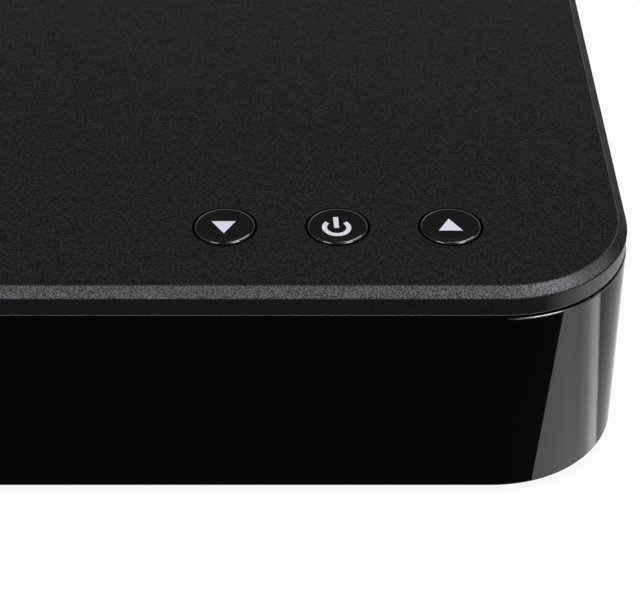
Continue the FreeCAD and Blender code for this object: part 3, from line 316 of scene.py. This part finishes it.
class Look:
    """A material with a Principled shader, and short ways to give it texture."""

    def __init__(self, name, **sockets):
        self.material = bpy.data.materials.new("look_" + name)
        self.material.use_nodes = True
        self.tree = self.material.node_tree
        self.shader = self.tree.nodes["Principled BSDF"]
        self.coordinates = self.node("ShaderNodeTexCoord")
        for socket, value in sockets.items():
            self.shader.inputs[socket.replace("_", " ")].default_value = value

    def node(self, kind, **settings):
        made = self.tree.nodes.new(kind)
        for name, value in settings.items():
            setattr(made, name, value)
        return made

    def join(self, output, target):
        self.tree.links.new(output, target)

    def set(self, socket, value):
        self.join(value, self.shader.inputs[socket])

    def noise(self, size, detail=2.0, stretch=(1, 1, 1)):
        """Noise whose features are about size metres wide, longer where stretch is above 1."""
        mapping = self.node("ShaderNodeMapping")
        mapping.inputs["Scale"].default_value = [1 / s for s in stretch]
        self.join(self.coordinates.outputs["Object"], mapping.inputs["Vector"])
        made = self.node("ShaderNodeTexNoise")
        made.inputs["Scale"].default_value = 1 / size
        made.inputs["Detail"].default_value = detail
        self.join(mapping.outputs["Vector"], made.inputs["Vector"])
        return made.outputs["Fac"]

    def span(self, value, low, high, start=NOISE_LOW, end=NOISE_HIGH):
        """Values from start to end made to run from low to high."""
        made = self.node("ShaderNodeMapRange")
        for name, number in (("From Min", start), ("From Max", end), ("To Min", low), ("To Max", high)):
            made.inputs[name].default_value = number
        self.join(value, made.inputs["Value"])
        return made.outputs["Result"]

    def math(self, operation, first, second):
        """The result of an operation on two values, each a number or an output."""
        made = self.node("ShaderNodeMath", operation=operation)
        for value, target in zip((first, second), made.inputs):
            if isinstance(value, float):
                target.default_value = value
            else:
                self.join(value, target)
        return made.outputs["Value"]

    def axes(self, kind):
        """X, Y and Z of the place (Object) or of the way the surface faces (Normal)."""
        made = self.node("ShaderNodeSeparateXYZ")
        self.join(self.coordinates.outputs[kind], made.inputs["Vector"])
        return made.outputs["X"], made.outputs["Y"], made.outputs["Z"]

    def sideways(self):
        """How far the surface faces left or right."""
        return self.math("ABSOLUTE", self.axes("Normal")[0], 0.0)

    def facing(self, low, high, soft):
        """1 where the surface faces up by low to high: 1 is a top, 0 a wall and -1 an underside."""
        up = self.axes("Normal")[2]
        return self.math("MULTIPLY", self.span(up, 0.0, 1.0, low - soft, low + soft),
                         self.span(up, 1.0, 0.0, high - soft, high + soft))

    def ramp(self, value, stops):
        """Tones blended between stops, each a place from 0 to 1 and its colour."""
        made = self.node("ShaderNodeValToRGB")
        elements = made.color_ramp.elements
        for element, (place, tone) in zip(elements, (stops[0], stops[-1])):
            element.position = place
            element.color = (*tone, 1)
        for place, tone in stops[1:-1]:
            elements.new(place).color = (*tone, 1)
        self.join(value, made.inputs["Fac"])
        return made.outputs["Color"]

    def levels(self, value, stops):
        """Levels blended between stops, each a place from 0 to 1 and its level."""
        return self.ramp(value, [(place, [level] * 3) for place, level in stops])

    def tones(self, value, dark, light, low=NOISE_LOW, high=NOISE_HIGH):
        return self.ramp(value, ((low, dark), (high, light)))

    def varied(self, value, tone, contrast, spread=NOISE_SPREAD):
        """A tone that a noise makes darker and lighter by the contrast."""
        dark = [c * (1 - contrast) for c in tone]
        light = [c * (1 + contrast) for c in tone]
        return self.tones(value, dark, light, NOISE_MIDDLE - spread, NOISE_MIDDLE + spread)

    def mix(self, share, first, second):
        """Two colours blended. Inputs 0, 6 and 7 are the share and the colours, output 2 the blend."""
        made = self.node("ShaderNodeMix", data_type="RGBA")
        for value, target in zip((share, first, second), (0, 6, 7)):
            self.join(value, made.inputs[target])
        return made.outputs[2]

    def bump(self, value, depth):
        made = self.node("ShaderNodeBump")
        made.inputs["Distance"].default_value = depth
        self.join(value, made.inputs["Height"])
        self.set("Normal", made.outputs["Normal"])


def moulded(name, tone, contrast, roughness, grain, relief):
    """Moulded plastic: a fine grain in relief, and a slow change of gloss."""
    look = Look(name)
    fine = look.noise(grain, 3.0)
    look.set("Base Color", look.varied(fine, tone, contrast))
    patches = look.noise(grain * MOULD_PATCH)
    look.set("Roughness", look.span(patches, roughness - MOULD_CHANGE, roughness + MOULD_CHANGE))
    look.bump(fine, relief)
    return look.material


def glossy(name, tone, roughness, **sockets):
    """Polished plastic."""
    look = Look(name, **sockets)
    polish(look, tone, roughness)
    return look.material


def polish(look, tone, roughness):
    """Faint wipe marks in the gloss, and a trace of orange peel."""
    look.set("Base Color", look.varied(look.noise(CLOUD_SIZE), tone, CLOUD_CONTRAST))
    wipes = look.noise(WIPE_SIZE, 3.0, WIPE_STRETCH)
    look.set("Roughness", look.span(wipes, roughness * (1 - WIPE_CHANGE), roughness * (1 + WIPE_CHANGE)))
    look.bump(look.noise(PEEL_SIZE), PEEL_RELIEF)


def lid_plastic():
    """Spark-textured plastic: a matt top, a shinier bevel whose lighter tone is a painted highlight, satin
    walls whose darker tone is painted shade, with a painted highlight along their lowest edge; the walls
    shine at the corners.
    """
    look = Look("black_lid", Specular_Tint=STUDIO_TINT)
    mottle = look.noise(LID_MOTTLE, 4.0)
    spark = look.noise(SPARK_GRAIN)
    calm = look.span(look.sideways(), 1.0, SPARK_LEFT, *SPARK_FADE)
    grain = look.math("MULTIPLY", look.math("SUBTRACT", spark, NOISE_MIDDLE), calm)
    grain = look.math("ADD", grain, NOISE_MIDDLE)
    # the bevel's mask carries its painted highlight as well as its gloss and roughness, and fades out on
    # the sides
    fade = look.span(look.sideways(), 1.0, 0.0, *BEVEL_FADE)
    bevel = look.math("MULTIPLY", look.facing(*BEVEL_FACING), fade)
    wall = look.facing(*WALL_FACING)
    # painted shade: the walls take a darker tone than the top
    colour = look.mix(wall, look.varied(mottle, LID_TONE, LID_CONTRAST, LID_SPREAD),
                      look.varied(spark, WALL_SHADE_TONE, LID_CONTRAST, WALL_SPREAD))
    # painted highlight: the bevel takes the lighter tone
    colour = look.mix(bevel, colour, look.varied(grain, BEVEL_HIGHLIGHT_TONE, LID_CONTRAST, BEVEL_SPREAD))
    # painted highlight: the walls' lowest, downward-facing edge takes a bright tone
    foot_highlight = look.varied(spark, FOOT_HIGHLIGHT_TONE, FOOT_CONTRAST)
    look.set("Base Color", look.mix(look.facing(*FOOT_FACING), colour, foot_highlight))
    across = look.math("ABSOLUTE", look.axes("Object")[0], 0.0)
    wall_shine = look.math("MULTIPLY", wall, look.span(across, 0.0, WALL_SHINE, *WALL_SHINE_START))
    around = look.levels(look.sideways(), BEVEL_BANDS)
    sparkle = look.math("MULTIPLY", around, look.span(grain, *BEVEL_SPARKLE))
    shine = look.math("MAXIMUM", look.math("MULTIPLY", bevel, sparkle), wall_shine)
    look.set("Specular IOR Level", look.math("ADD", shine, LID_GLOSS))
    rough = look.span(look.math("MAXIMUM", bevel, wall), LID_ROUGHNESS, BEVEL_ROUGHNESS, 0.0, 1.0)
    patches = look.span(look.noise(LID_PATCH), -LID_PATCH_CHANGE, LID_PATCH_CHANGE)
    look.set("Roughness", look.math("ADD", rough, patches))
    look.bump(grain, SPARK_RELIEF)
    return look.material


def frame_plastic():
    """Piano-black plastic whose corners catch the light. The smoked pane between them is duller."""
    look = Look("gloss_black", IOR=1.5, Specular_Tint=STUDIO_TINT)
    polish(look, FRAME_TONE, FRAME_ROUGHNESS)
    x, y, z = look.axes("Object")
    across = look.math("ABSOLUTE", x, 0.0)
    end = look.math("ADD", look.math("MULTIPLY", z, PANE_END_SLOPE), PANE_END)
    beside = look.math("GREATER_THAN", across, end)
    behind = look.math("GREATER_THAN", y, PANE_BACK)
    drop = look.math("MULTIPLY", look.math("SUBTRACT", z, BAND_HEIGHT), BAND_LEAN)
    bands = look.math("ADD", look.sideways(), drop)
    corners = look.levels(bands, CORNER_BANDS)
    walls = look.math("MULTIPLY", look.math("MAXIMUM", beside, behind), corners)
    back = look.span(look.axes("Normal")[1], 1.0, FRAME_BACK_GLOSS, *FRAME_BACK_FADE)
    walls = look.math("MULTIPLY", walls, back)
    edge = look.math("SUBTRACT", 1.0, look.facing(*FRAME_WALL_FACING))
    corner = look.math("MINIMUM", look.span(across, 0.0, EDGE_SHINE, *EDGE_SHINE_START),
                       look.span(across, EDGE_SHINE, 1.0, *EDGE_SHINE_END))
    edge = look.math("MULTIPLY", edge, corner)
    shine = look.math("MAXIMUM", look.math("MAXIMUM", walls, edge), PANE_SHINE)
    look.set("Specular IOR Level", shine)
    look.set("Coat Weight", look.levels(bands, CORNER_GLINT))
    return look.material


def key_plastic():
    """Satin-gloss plastic with a polished rim."""
    look = Look("key_black")
    polish(look, KEY_TONE, KEY_ROUGHNESS)
    side, back = look.axes("Normal")[:2]
    turn = look.span(look.math("ARCTAN2", side, back), 0.0, 1.0, -math.pi, math.pi)
    beside_top = look.math("SUBTRACT", 1.0, look.facing(*KEY_TOP_FACING))
    rim = look.math("MULTIPLY", beside_top, look.levels(turn, KEY_RIM_BANDS))
    look.set("Specular IOR Level", look.span(rim, KEY_GLOSS, 1.0, 0.0, 1.0))
    look.set("Coat Weight", rim)
    return look.material


def metal(name, tone, roughness, grain, stretch=(1, 1, 1)):
    """Bare or plated metal with fine scratches along its grain."""
    look = Look(name, Metallic=1.0)
    scratches = look.noise(grain, 4.0, stretch)
    dark = [c * METAL_DARK for c in tone]
    look.set("Base Color", look.tones(look.noise(grain * METAL_PATCH), dark, tone))
    look.set("Roughness", look.span(scratches, roughness * (1 - SCRATCH_CHANGE),
                                    roughness * (1 + SCRATCH_CHANGE)))
    look.bump(scratches, SCRATCH_RELIEF)
    return look.material


def painted_metal(name, tone, roughness):
    """Powder-painted sheet: a pebbled coat."""
    look = Look(name)
    pebbles = look.noise(PEBBLE_SIZE)
    look.set("Base Color", look.varied(pebbles, tone, PEBBLE_CONTRAST))
    patches = look.noise(PAINT_PATCH)
    look.set("Roughness", look.span(patches, roughness - PAINT_SHINIEST, roughness + PAINT_DULLEST))
    look.bump(pebbles, PEBBLE_RELIEF)
    return look.material


def printed_board(name):
    """Green solder resist over a net of copper tracks."""
    look = Look(name, Coat_Weight=0.3)
    tracks = look.node("ShaderNodeTexBrick", offset=0.35, squash=1.6)
    tracks.inputs["Scale"].default_value = 1 / TRACK_PITCH
    tracks.inputs["Mortar Size"].default_value = TRACK_WIDTH
    for socket, tone in BOARD_TONES.items():
        tracks.inputs[socket].default_value = tone
    look.join(look.coordinates.outputs["Object"], tracks.inputs["Vector"])
    look.set("Base Color", tracks.outputs["Color"])
    look.set("Roughness", look.span(look.noise(BOARD_PATCH), *BOARD_ROUGHNESS))
    look.bump(tracks.outputs["Fac"], TRACK_HEIGHT)
    return look.material


def ribbon_cable(name):
    """Flat cable: a round ridge over each core, and painted shade in the grooves between."""
    look = Look(name, Roughness=0.45)
    cores = look.node("ShaderNodeTexWave", wave_type="BANDS", bands_direction="X", wave_profile="SIN")
    cores.inputs["Scale"].default_value = 2 * math.pi / (WAVE_RATE * CORE_PITCH)
    look.join(look.coordinates.outputs["Object"], cores.inputs["Vector"])
    wave = cores.outputs["Fac"]
    # painted shade: darker tone in the grooves, the cable's own tone on the ridges
    look.set("Base Color", look.tones(wave, GROOVE_SHADE_TONE, RIDGE_TONE, 0.0, RIDGE_START))
    look.bump(wave, CORE_RELIEF)
    return look.material


# moulded: tone, contrast, roughness, grain, relief
# metal: tone, roughness, scratches, how much longer they are along X, Y and Z
# glossy and painted_metal: tone, roughness
LOOKS = {
    "black_lid": lid_plastic(),
    "gloss_black": frame_plastic(),
    "smoked_window": glossy("smoked_window", (0.012, 0.008, 0.010), 0.03, IOR=1.12,
                            Transmission_Weight=0.85),
    "black_tray": moulded("black_tray", (0.018, 0.018, 0.019), 0.3, 0.55, 0.6 * MM, 0.03 * MM),
    "black_metal": painted_metal("black_metal", (0.020, 0.020, 0.021), 0.42),
    "rubber_black": moulded("rubber_black", (0.022, 0.022, 0.022), 0.25, 0.82, 0.4 * MM, 0.02 * MM),
    "key_black": key_plastic(),
    "black_zinc": metal("black_zinc", (0.10, 0.10, 0.11), 0.34, 0.3 * MM),
    "switch_plastic": moulded("switch_plastic", (0.020, 0.020, 0.021), 0.2, 0.38, 0.5 * MM, 0.01 * MM),
    "plunger_white": moulded("plunger_white", (0.70, 0.69, 0.64), 0.06, 0.45, 0.5 * MM, 0.01 * MM),
    "board_green": printed_board("board_green"),
    "header_white": moulded("header_white", (0.74, 0.73, 0.67), 0.06, 0.48, 0.5 * MM, 0.01 * MM),
    "chip_black": moulded("chip_black", (0.024, 0.024, 0.026), 0.3, 0.6, 0.15 * MM, 0.01 * MM),
    "aluminium_sink": metal("aluminium_sink", (0.62, 0.63, 0.65), 0.3, 0.2 * MM, (1, 14, 1)),
    "can_sleeve": glossy("can_sleeve", (0.02, 0.024, 0.06), 0.22),
    "ferrite": moulded("ferrite", (0.050, 0.050, 0.050), 0.3, 0.55, 0.4 * MM, 0.03 * MM),
    "ribbon_white": ribbon_cable("ribbon_white"),
    "lead_red": glossy("lead_red", (0.42, 0.012, 0.010), 0.35),
    "tin_plate": metal("tin_plate", (0.58, 0.58, 0.57), 0.28, 0.25 * MM, (1, 10, 1)),
    "nickel": metal("nickel", (0.66, 0.64, 0.60), 0.18, 0.15 * MM),
    "insulator_white": moulded("insulator_white", (0.80, 0.80, 0.76), 0.04, 0.4, 0.5 * MM, 0.01 * MM),
    "socket_black": moulded("socket_black", (0.014, 0.014, 0.015), 0.2, 0.35, 0.4 * MM, 0.01 * MM),
    "display_dark": moulded("display_dark", (0.018, 0.012, 0.012), 0.2, 0.4, 0.6 * MM, 0.01 * MM),
    "led_lens": glossy("led_lens", (0.30, 0.03, 0.02), 0.12, Transmission_Weight=0.5),
    "gold": metal("gold", (0.80, 0.58, 0.22), 0.2, 0.2 * MM, (1, 8, 1)),
}
PRINT = moulded("sign_print", (0.62, 0.65, 0.72), 0.07, 0.5, 0.2 * MM, 0.004 * MM)
UNLIT = moulded("unlit_segment", (0.060, 0.030, 0.028), 0.1, 0.5, 0.3 * MM, 0.004 * MM)


def dress_frame():
    """Gives every CAD node the look of its material slot."""
    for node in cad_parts.values():
        for place in node.material_slots:
            place.material = LOOKS[place.material.name.split(".")[0]]


# ---------------------------------------------------------------- mesh helpers

def mesh_object(name, form, look):
    """Turns a bmesh into a smooth object."""
    bmesh.ops.recalc_face_normals(form, faces=form.faces)
    mesh = bpy.data.meshes.new(name)
    form.to_mesh(mesh)
    form.free()
    mesh.shade_smooth()
    mesh.materials.append(look)
    made = bpy.data.objects.new(name, mesh)
    bpy.context.scene.collection.objects.link(made)
    return made


def piece(name, form, body, look, crease=CREASE):
    """Turns a bmesh into a piece that rides on a body."""
    made = mesh_object(name, form, look)
    made.data.set_sharp_from_angle(angle=crease)
    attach(made, body)
    return made


def turns(count):
    """Angles of evenly spaced points all the way round."""
    return [2 * math.pi * k / count for k in range(count)]


def on_circle(radius, angles):
    """Points on a circle about the origin."""
    return [(radius * math.cos(a), radius * math.sin(a)) for a in angles]


def ring(form, count, point):
    """A closed ring of vertices: point(angle) gives each one's place."""
    return [form.verts.new(point(a)) for a in turns(count)]


def bridge(form, first, second):
    """Faces between two rings."""
    count = len(first)
    for k in range(count):
        form.faces.new((first[k], first[(k + 1) % count], second[(k + 1) % count], second[k]))


def sleeve(form, rings):
    """Faces between each ring and the next."""
    for first, second in zip(rings, rings[1:]):
        bridge(form, first, second)


def fan(form, loop, middle):
    """Faces from a ring to a point."""
    tip = form.verts.new(middle)
    for k in range(len(loop)):
        form.faces.new((loop[k], loop[(k + 1) % len(loop)], tip))


def revolve(form, profile, origin, count):
    """Turns (radius, height) points about an upright axis, and gives the rings."""
    rings = [ring(form, count, lambda a, r=radius, h=height:
                  origin + Vector((r * math.cos(a), r * math.sin(a), h)))
             for radius, height in profile]
    sleeve(form, rings)
    return rings


def prism(form, outline, lift):
    """A plate: outline is a list of points and lift the way from its lower to its upper face."""
    low = [form.verts.new(p) for p in outline]
    high = [form.verts.new(p + lift) for p in outline]
    bridge(form, low, high)
    form.faces.new(low)
    form.faces.new(high)


def settle(form):
    """Sorts edges and faces by their vertices, so that their order is always the same.

    Bevelling leaves it to chance for a few faces. No two faces share their three lowest vertices.
    """
    form.verts.index_update()
    count = len(form.verts)

    def place(element):
        number = 0
        for index in sorted(v.index for v in element.verts)[:3]:
            number = number * count + index
        return number

    form.edges.sort(key=place)
    form.faces.sort(key=place)


def brick(form, low, high):
    """A box between two corners."""
    corners = ((low.x, low.y), (high.x, low.y), (high.x, high.y), (low.x, high.y))
    prism(form, [Vector((x, y, low.z)) for x, y in corners], Vector((0, 0, high.z - low.z)))


# ---------------------------------------------------------------- keys

def key_profile(foot):
    """Section of a key, from its stem's foot to the dish in its top. Heights are from the lid's top."""
    flange_low = -LID_PLATE - KEY_FLANGE_THICKNESS
    top = KEY_STAND_OUT
    side = [(KEY_STEM_RADIUS, foot), (KEY_STEM_RADIUS, flange_low), (KEY_FLANGE_RADIUS, flange_low),
            (KEY_FLANGE_RADIUS, -LID_PLATE), (KEY_RADIUS, -LID_PLATE)]
    edge = []
    for k in range(KEY_EDGE_STEPS + 1):
        a = math.pi / 2 * k / KEY_EDGE_STEPS
        edge.append((KEY_RADIUS - KEY_EDGE_RUN * (1 - math.cos(a)),
                     top - KEY_EDGE_DROP * (1 - math.sin(a))))
    dish = []
    for k in range(1, KEY_DISH_STEPS + 1):
        s = k / KEY_DISH_STEPS
        dish.append((KEY_DISH_RADIUS + (KEY_DISH_FLOOR - KEY_DISH_RADIUS) * s,
                     top - KEY_DISH_DEPTH * (3 * s * s - 2 * s ** 3)))
    return side + edge + dish


def make_key(which):
    """A key: flange, stem, tab and a cap with a rounded edge and a finger dish."""
    form = bmesh.new()
    middle = key_middle(which)
    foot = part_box("button_power")[0].z - lid_high.z
    rings = revolve(form, key_profile(foot), middle, KEY_SIDES)
    fan(form, rings[0], middle + Vector((0, 0, foot)))
    fan(form, rings[-1], middle + Vector((0, 0, KEY_STAND_OUT - KEY_DISH_DEPTH)))
    tab_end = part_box("button_" + which)[1].y
    flange_high = lid_high.z - LID_PLATE
    half = Vector((KEY_TAB_WIDTH / 2, 0, 0))
    start = Vector((middle.x, middle.y + KEY_STEM_RADIUS, flange_high - KEY_FLANGE_THICKNESS))
    brick(form, start - half, Vector((middle.x, tab_end, flange_high)) + half)
    made = piece("key_" + which, form, "button_" + which, LOOKS["key_black"])
    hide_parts("button_" + which)


def power_outlines():
    """An open ring and a bar."""
    start = math.pi / 2 + RING_OPENING
    sweep = 2 * math.pi - 2 * RING_OPENING
    angles = [start + sweep * k / RING_STEPS for k in range(RING_STEPS + 1)]
    arc = on_circle(RING_RADIUS, angles) + on_circle(RING_RADIUS - RING_STROKE, reversed(angles))
    h = RING_STROKE / 2
    bar = [(-h, BAR_LOW), (h, BAR_LOW), (h, BAR_HIGH), (-h, BAR_HIGH)]
    return [[(x, y - RING_DROP) for x, y in shape] for shape in (arc, bar)]


def icon_outlines(which):
    """Flat outlines of a key's sign, as (x, y) points about the key's middle."""
    if which == "power":
        return power_outlines()
    way = 1 if which == "up" else -1
    third = ARROW_HEIGHT / 3
    return [[(-ARROW_WIDTH / 2, -third * way), (ARROW_WIDTH / 2, -third * way), (0.0, 2 * third * way)]]


def make_icon(which):
    form = bmesh.new()
    middle = key_middle(which) + Vector((0, 0, KEY_STAND_OUT - KEY_DISH_DEPTH))
    middle += Vector((*ICON_OFFSETS[which], 0))
    for outline in icon_outlines(which):
        prism(form, [middle + Vector((x - ICON_LEAN * y, y, 0)) for x, y in outline],
              Vector((0, 0, ICON_THICKNESS)))
    piece("sign_" + which, form, "button_" + which, PRINT)


# ---------------------------------------------------------------- back sockets

def thread_rows(y0, y1):
    """Rows of the thread, each a place and a depth. The depth runs in and out over one pitch."""
    count = round((y1 - y0) / THREAD_PITCH * THREAD_ROWS)
    rows = []
    for k in range(count + 1):
        y = y0 + (y1 - y0) * k / count
        fade = min(1.0, (y - y0) / THREAD_PITCH, (y1 - y) / THREAD_PITCH)
        rows.append((y, THREAD_DEPTH * max(0.0, fade)))
    return rows


def make_aerial_connector(number):
    """Hexagonal base, neck and threaded barrel with its well."""
    node = f"aerial_connector_{number}"
    low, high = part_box(node)
    middle = Vector(((low.x + high.x) / 2, 0, (low.z + high.z) / 2))
    panel_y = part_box("rear_panel")[1].y
    form = bmesh.new()
    hexagon = on_circle(BASE_ACROSS_FLATS / math.sqrt(3), [math.pi / 3 * k for k in range(6)])
    prism(form, [middle + Vector((x, low.y, z)) for x, z in hexagon], Vector((0, BASE_THICKNESS, 0)))
    bmesh.ops.bevel(form, geom=list(form.edges), offset=BASE_ROUND, segments=BASE_ROUND_STEPS,
                    affect="EDGES")

    def circle(y, radius, depth=0.0):
        """A ring whose radius falls by the depth at the thread's root."""
        def point(a):
            turn = (y / THREAD_PITCH - a / (2 * math.pi)) % 1.0
            crest = min(1.0, THREAD_STEEPNESS * abs(turn - 0.5))
            r = radius - depth * (1 - crest)
            return middle + Vector((r * math.cos(a), y, r * math.sin(a)))
        return ring(form, THREAD_SIDES, point)

    neck_end = panel_y + NECK_REACH
    rings = [circle(low.y + BASE_THICKNESS, NECK_RADIUS), circle(neck_end, NECK_RADIUS)]
    rings += [circle(y, THREAD_RADIUS, depth) for y, depth in thread_rows(neck_end, high.y - TIP_CHAMFER)]
    rings += [circle(high.y, THREAD_RADIUS - TIP_CHAMFER), circle(high.y, WELL_RADIUS),
              circle(high.y - WELL_DEPTH, WELL_RADIUS)]
    sleeve(form, rings)
    fan(form, rings[0], middle + Vector((0, low.y + BASE_THICKNESS, 0)))
    fan(form, rings[-1], middle + Vector((0, high.y - WELL_DEPTH, 0)))
    settle(form)
    made = piece(f"aerial_barrel_{number}", form, "receiver", LOOKS["nickel"], BARREL_CREASE)
    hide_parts(node)


def add_usb_contacts(form, top):
    """Strips under the socket's two tongues. The upper tongue's top face is at the height top."""
    usb_low, usb_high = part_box("usb_socket")
    middle_x = (usb_low.x + usb_high.x) / 2
    tip = usb_high.y - USB_TONGUE_SETBACK - CONTACT_SETBACK
    half = USB_CONTACT_WIDTH / 2
    for z in (top, top - USB_MOUTH_PITCH):
        under = z - USB_TONGUE_THICKNESS
        for x in USB_CONTACT_PLACES:
            brick(form, Vector((middle_x + x - half, tip - USB_CONTACT_LENGTH, under - CONTACT_THICKNESS)),
                  Vector((middle_x + x + half, tip, under)))


def add_hdmi_contacts(form, under, tip):
    """Strips above and under the socket's tongue, whose underside and tip are given."""
    hdmi_low, hdmi_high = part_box("hdmi_socket")
    middle_x = (hdmi_low.x + hdmi_high.x) / 2
    top = under + HDMI_TONGUE_THICKNESS
    half = HDMI_CONTACT_WIDTH / 2
    for count, z0, z1 in ((HDMI_CONTACT_COUNT, top, top + CONTACT_THICKNESS),
                          (HDMI_CONTACT_COUNT - 1, under - CONTACT_THICKNESS, under)):
        for k in range(count):
            x = middle_x + (k - (count - 1) / 2) * HDMI_CONTACT_PITCH
            brick(form, Vector((x - half, tip - HDMI_CONTACT_LENGTH, z0)), Vector((x + half, tip, z1)))


def make_socket_contacts():
    """Gold strips on the tongues of the HDMI and USB sockets."""
    form = bmesh.new()
    tongues_low, tongues_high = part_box("socket_tongues")
    add_usb_contacts(form, tongues_high.z)
    add_hdmi_contacts(form, tongues_low.z, tongues_high.y - CONTACT_SETBACK)
    piece("socket_contacts", form, "receiver", LOOKS["gold"])


def make_rocker_marks():
    """A bar and a ring, the signs for on and off, printed on the rocker's two faces."""
    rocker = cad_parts["power_switch_rocker"]
    low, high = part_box("power_switch_rocker")
    middle_x = (low.x + high.x) / 2
    middle_z = (low.z + high.z) / 2
    form = bmesh.new()

    def face_y(x, z):
        """Place of the rocker's face, met from behind."""
        start = Vector((x, high.y + ROCKER_CLEARANCE, z))
        return rocker.ray_cast(start, Vector((0, -1, 0)))[1].y

    def printed(outline, z):
        points = [Vector((middle_x + u, face_y(middle_x + u, z + v), z + v)) for u, v in outline]
        prism(form, points, Vector((0, ROCKER_MARK_THICKNESS, 0)))

    h, s = ROCKER_MARK_HEIGHT / 2, ROCKER_MARK_STROKE / 2
    printed([(-s, -h), (s, -h), (s, h), (-s, h)], middle_z + ROCKER_MARK_OFFSET)
    for k in range(ROCKER_RING_STEPS):
        a, b = (2 * math.pi * end / ROCKER_RING_STEPS for end in (k, k + 1))
        printed(on_circle(h, (a, b)) + on_circle(h - 2 * s, (b, a)), middle_z - ROCKER_MARK_OFFSET)
    bmesh.ops.remove_doubles(form, verts=form.verts, dist=WELD_DISTANCE)
    piece("rocker_signs", form, "power_rocker", PRINT)


# ---------------------------------------------------------------- display

def segment_outline(length):
    """A pointed bar along X about the origin."""
    h, w = length / 2 - SEGMENT_GAP, SEGMENT_WIDTH / 2
    return [(-h, 0.0), (-h + w, -w), (h - w, -w), (h, 0.0), (h - w, w), (-h + w, w)]


def make_digits():
    """Seven-segment digits with a colon, unlit, on the face of the display."""
    low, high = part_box("digit_display")
    middle = Vector(((low.x + high.x) / 2, low.y, (low.z + high.z) / 2))
    wide, tall = DIGIT_WIDTH - SEGMENT_WIDTH, DIGIT_HEIGHT - SEGMENT_WIDTH
    form = bmesh.new()

    def plate(outline):
        prism(form, [middle + Vector((x, 0, z)) for x, z in outline], Vector((0, -SEGMENT_THICKNESS, 0)))

    for k in range(DIGIT_COUNT):
        x = (k - (DIGIT_COUNT - 1) / 2) * DIGIT_PITCH
        for z in (-tall / 2, 0.0, tall / 2):
            plate([(x + u, z + v) for u, v in segment_outline(wide)])
        for side in (-1, 1):
            for z in (-tall / 4, tall / 4):
                plate([(x + side * wide / 2 + v, z + u) for u, v in segment_outline(tall / 2)])
    for z in (-COLON_RISE, COLON_RISE):
        plate([(u, z + v) for u, v in on_circle(COLON_RADIUS, turns(COLON_STEPS))])
    piece("display_segments", form, "receiver", UNLIT)


# ---------------------------------------------------------------- room

def make_floor():
    """A pale floor that curves up into a low wall all round."""
    profile = [(FLOOR_RADIUS * k / FLOOR_STEPS, 0.0) for k in range(1, FLOOR_STEPS + 1)]
    for k in range(1, FLOOR_STEPS + 1):
        a = math.pi / 2 * k / FLOOR_STEPS
        profile.append((FLOOR_RADIUS + COVE_RADIUS * math.sin(a), COVE_RADIUS * (1 - math.cos(a))))
    profile.append((FLOOR_RADIUS + COVE_RADIUS, WALL_HEIGHT))
    form = bmesh.new()
    middle = Vector((0, 0, 0))
    rings = revolve(form, profile, middle, FLOOR_SIDES)
    fan(form, rings[0], middle)
    floor = mesh_object("floor", form, floor_look())


def floor_look():
    """A pale surface; part of its tone, seen directly or in a reflection, is steady."""
    look = Look("floor", Roughness=0.9, Specular_IOR_Level=0.0)
    look.set("Base Color", look.varied(look.noise(FLOOR_PATCH), [FLOOR_TONE] * 3, FLOOR_CONTRAST))
    rays = look.node("ShaderNodeLightPath")
    seen = look.math("MAXIMUM", rays.outputs["Is Camera Ray"], rays.outputs["Is Glossy Ray"])
    seen = look.math("MAXIMUM", seen, rays.outputs["Is Transmission Ray"])
    steady = look.node("ShaderNodeEmission")
    blend = look.node("ShaderNodeMixShader")
    look.join(look.math("MULTIPLY", seen, FLOOR_WHITE_SHARE), blend.inputs["Fac"])
    look.join(look.shader.outputs["BSDF"], blend.inputs[1])
    look.join(steady.outputs["Emission"], blend.inputs[2])
    look.join(blend.outputs["Shader"], look.tree.nodes["Material Output"].inputs["Surface"])
    return look.material


def softbox(name, azimuth, elevation, size, share):
    """A square lamp, placed by angles in degrees.

    It gives a level floor the stated share of the light at which colours render as written.
    """
    data = bpy.data.lights.new(name, "AREA")
    data.shape = "SQUARE"
    data.size = size
    a, e = math.radians(azimuth), math.radians(elevation)
    data.energy = share * math.pi ** 2 * LAMP_DISTANCE ** 2 / math.sin(e)
    lamp = bpy.data.objects.new(name, data)
    way = Vector((math.sin(a) * math.cos(e), -math.cos(a) * math.cos(e), math.sin(e)))
    lamp.location = key_middle("power") + way * LAMP_DISTANCE
    lamp.rotation_euler = way.to_track_quat("Z", "Y").to_euler()
    bpy.context.scene.collection.objects.link(lamp)


def make_lights():
    world = bpy.data.worlds.new("world")
    world.use_nodes = True
    background = world.node_tree.nodes["Background"]
    background.inputs["Color"].default_value = (1.0, 1.0, 1.0, 1.0)
    background.inputs["Strength"].default_value = WORLD_LEVEL
    bpy.context.scene.world = world
    for lamp in LAMPS:
        softbox(*lamp)


def make_camera():
    data = bpy.data.cameras.new("camera")
    data.sensor_width = SENSOR_WIDTH
    data.lens = FOCAL_PIXELS / IMAGE_WIDTH * SENSOR_WIDTH
    data.clip_start, data.clip_end = CAMERA_CLIP
    camera = bpy.data.objects.new("camera", data)
    camera.location = key_middle("power") + CAMERA_OFFSET
    camera.rotation_euler = (math.pi / 2 - CAMERA_ELEVATION, 0.0, 0.0)
    bpy.context.scene.collection.objects.link(camera)
    bpy.context.scene.camera = camera


# ---------------------------------------------------------------- scene

make_camera()
dress_frame()
for which_key in KEYS:
    make_key(which_key)
    make_icon(which_key)
for connector in (1, 2):
    make_aerial_connector(connector)
make_socket_contacts()
make_rocker_marks()
make_digits()
make_floor()
make_lights()
bpy.context.scene.view_settings.view_transform = "Standard"

bpy.context.view_layer.update()
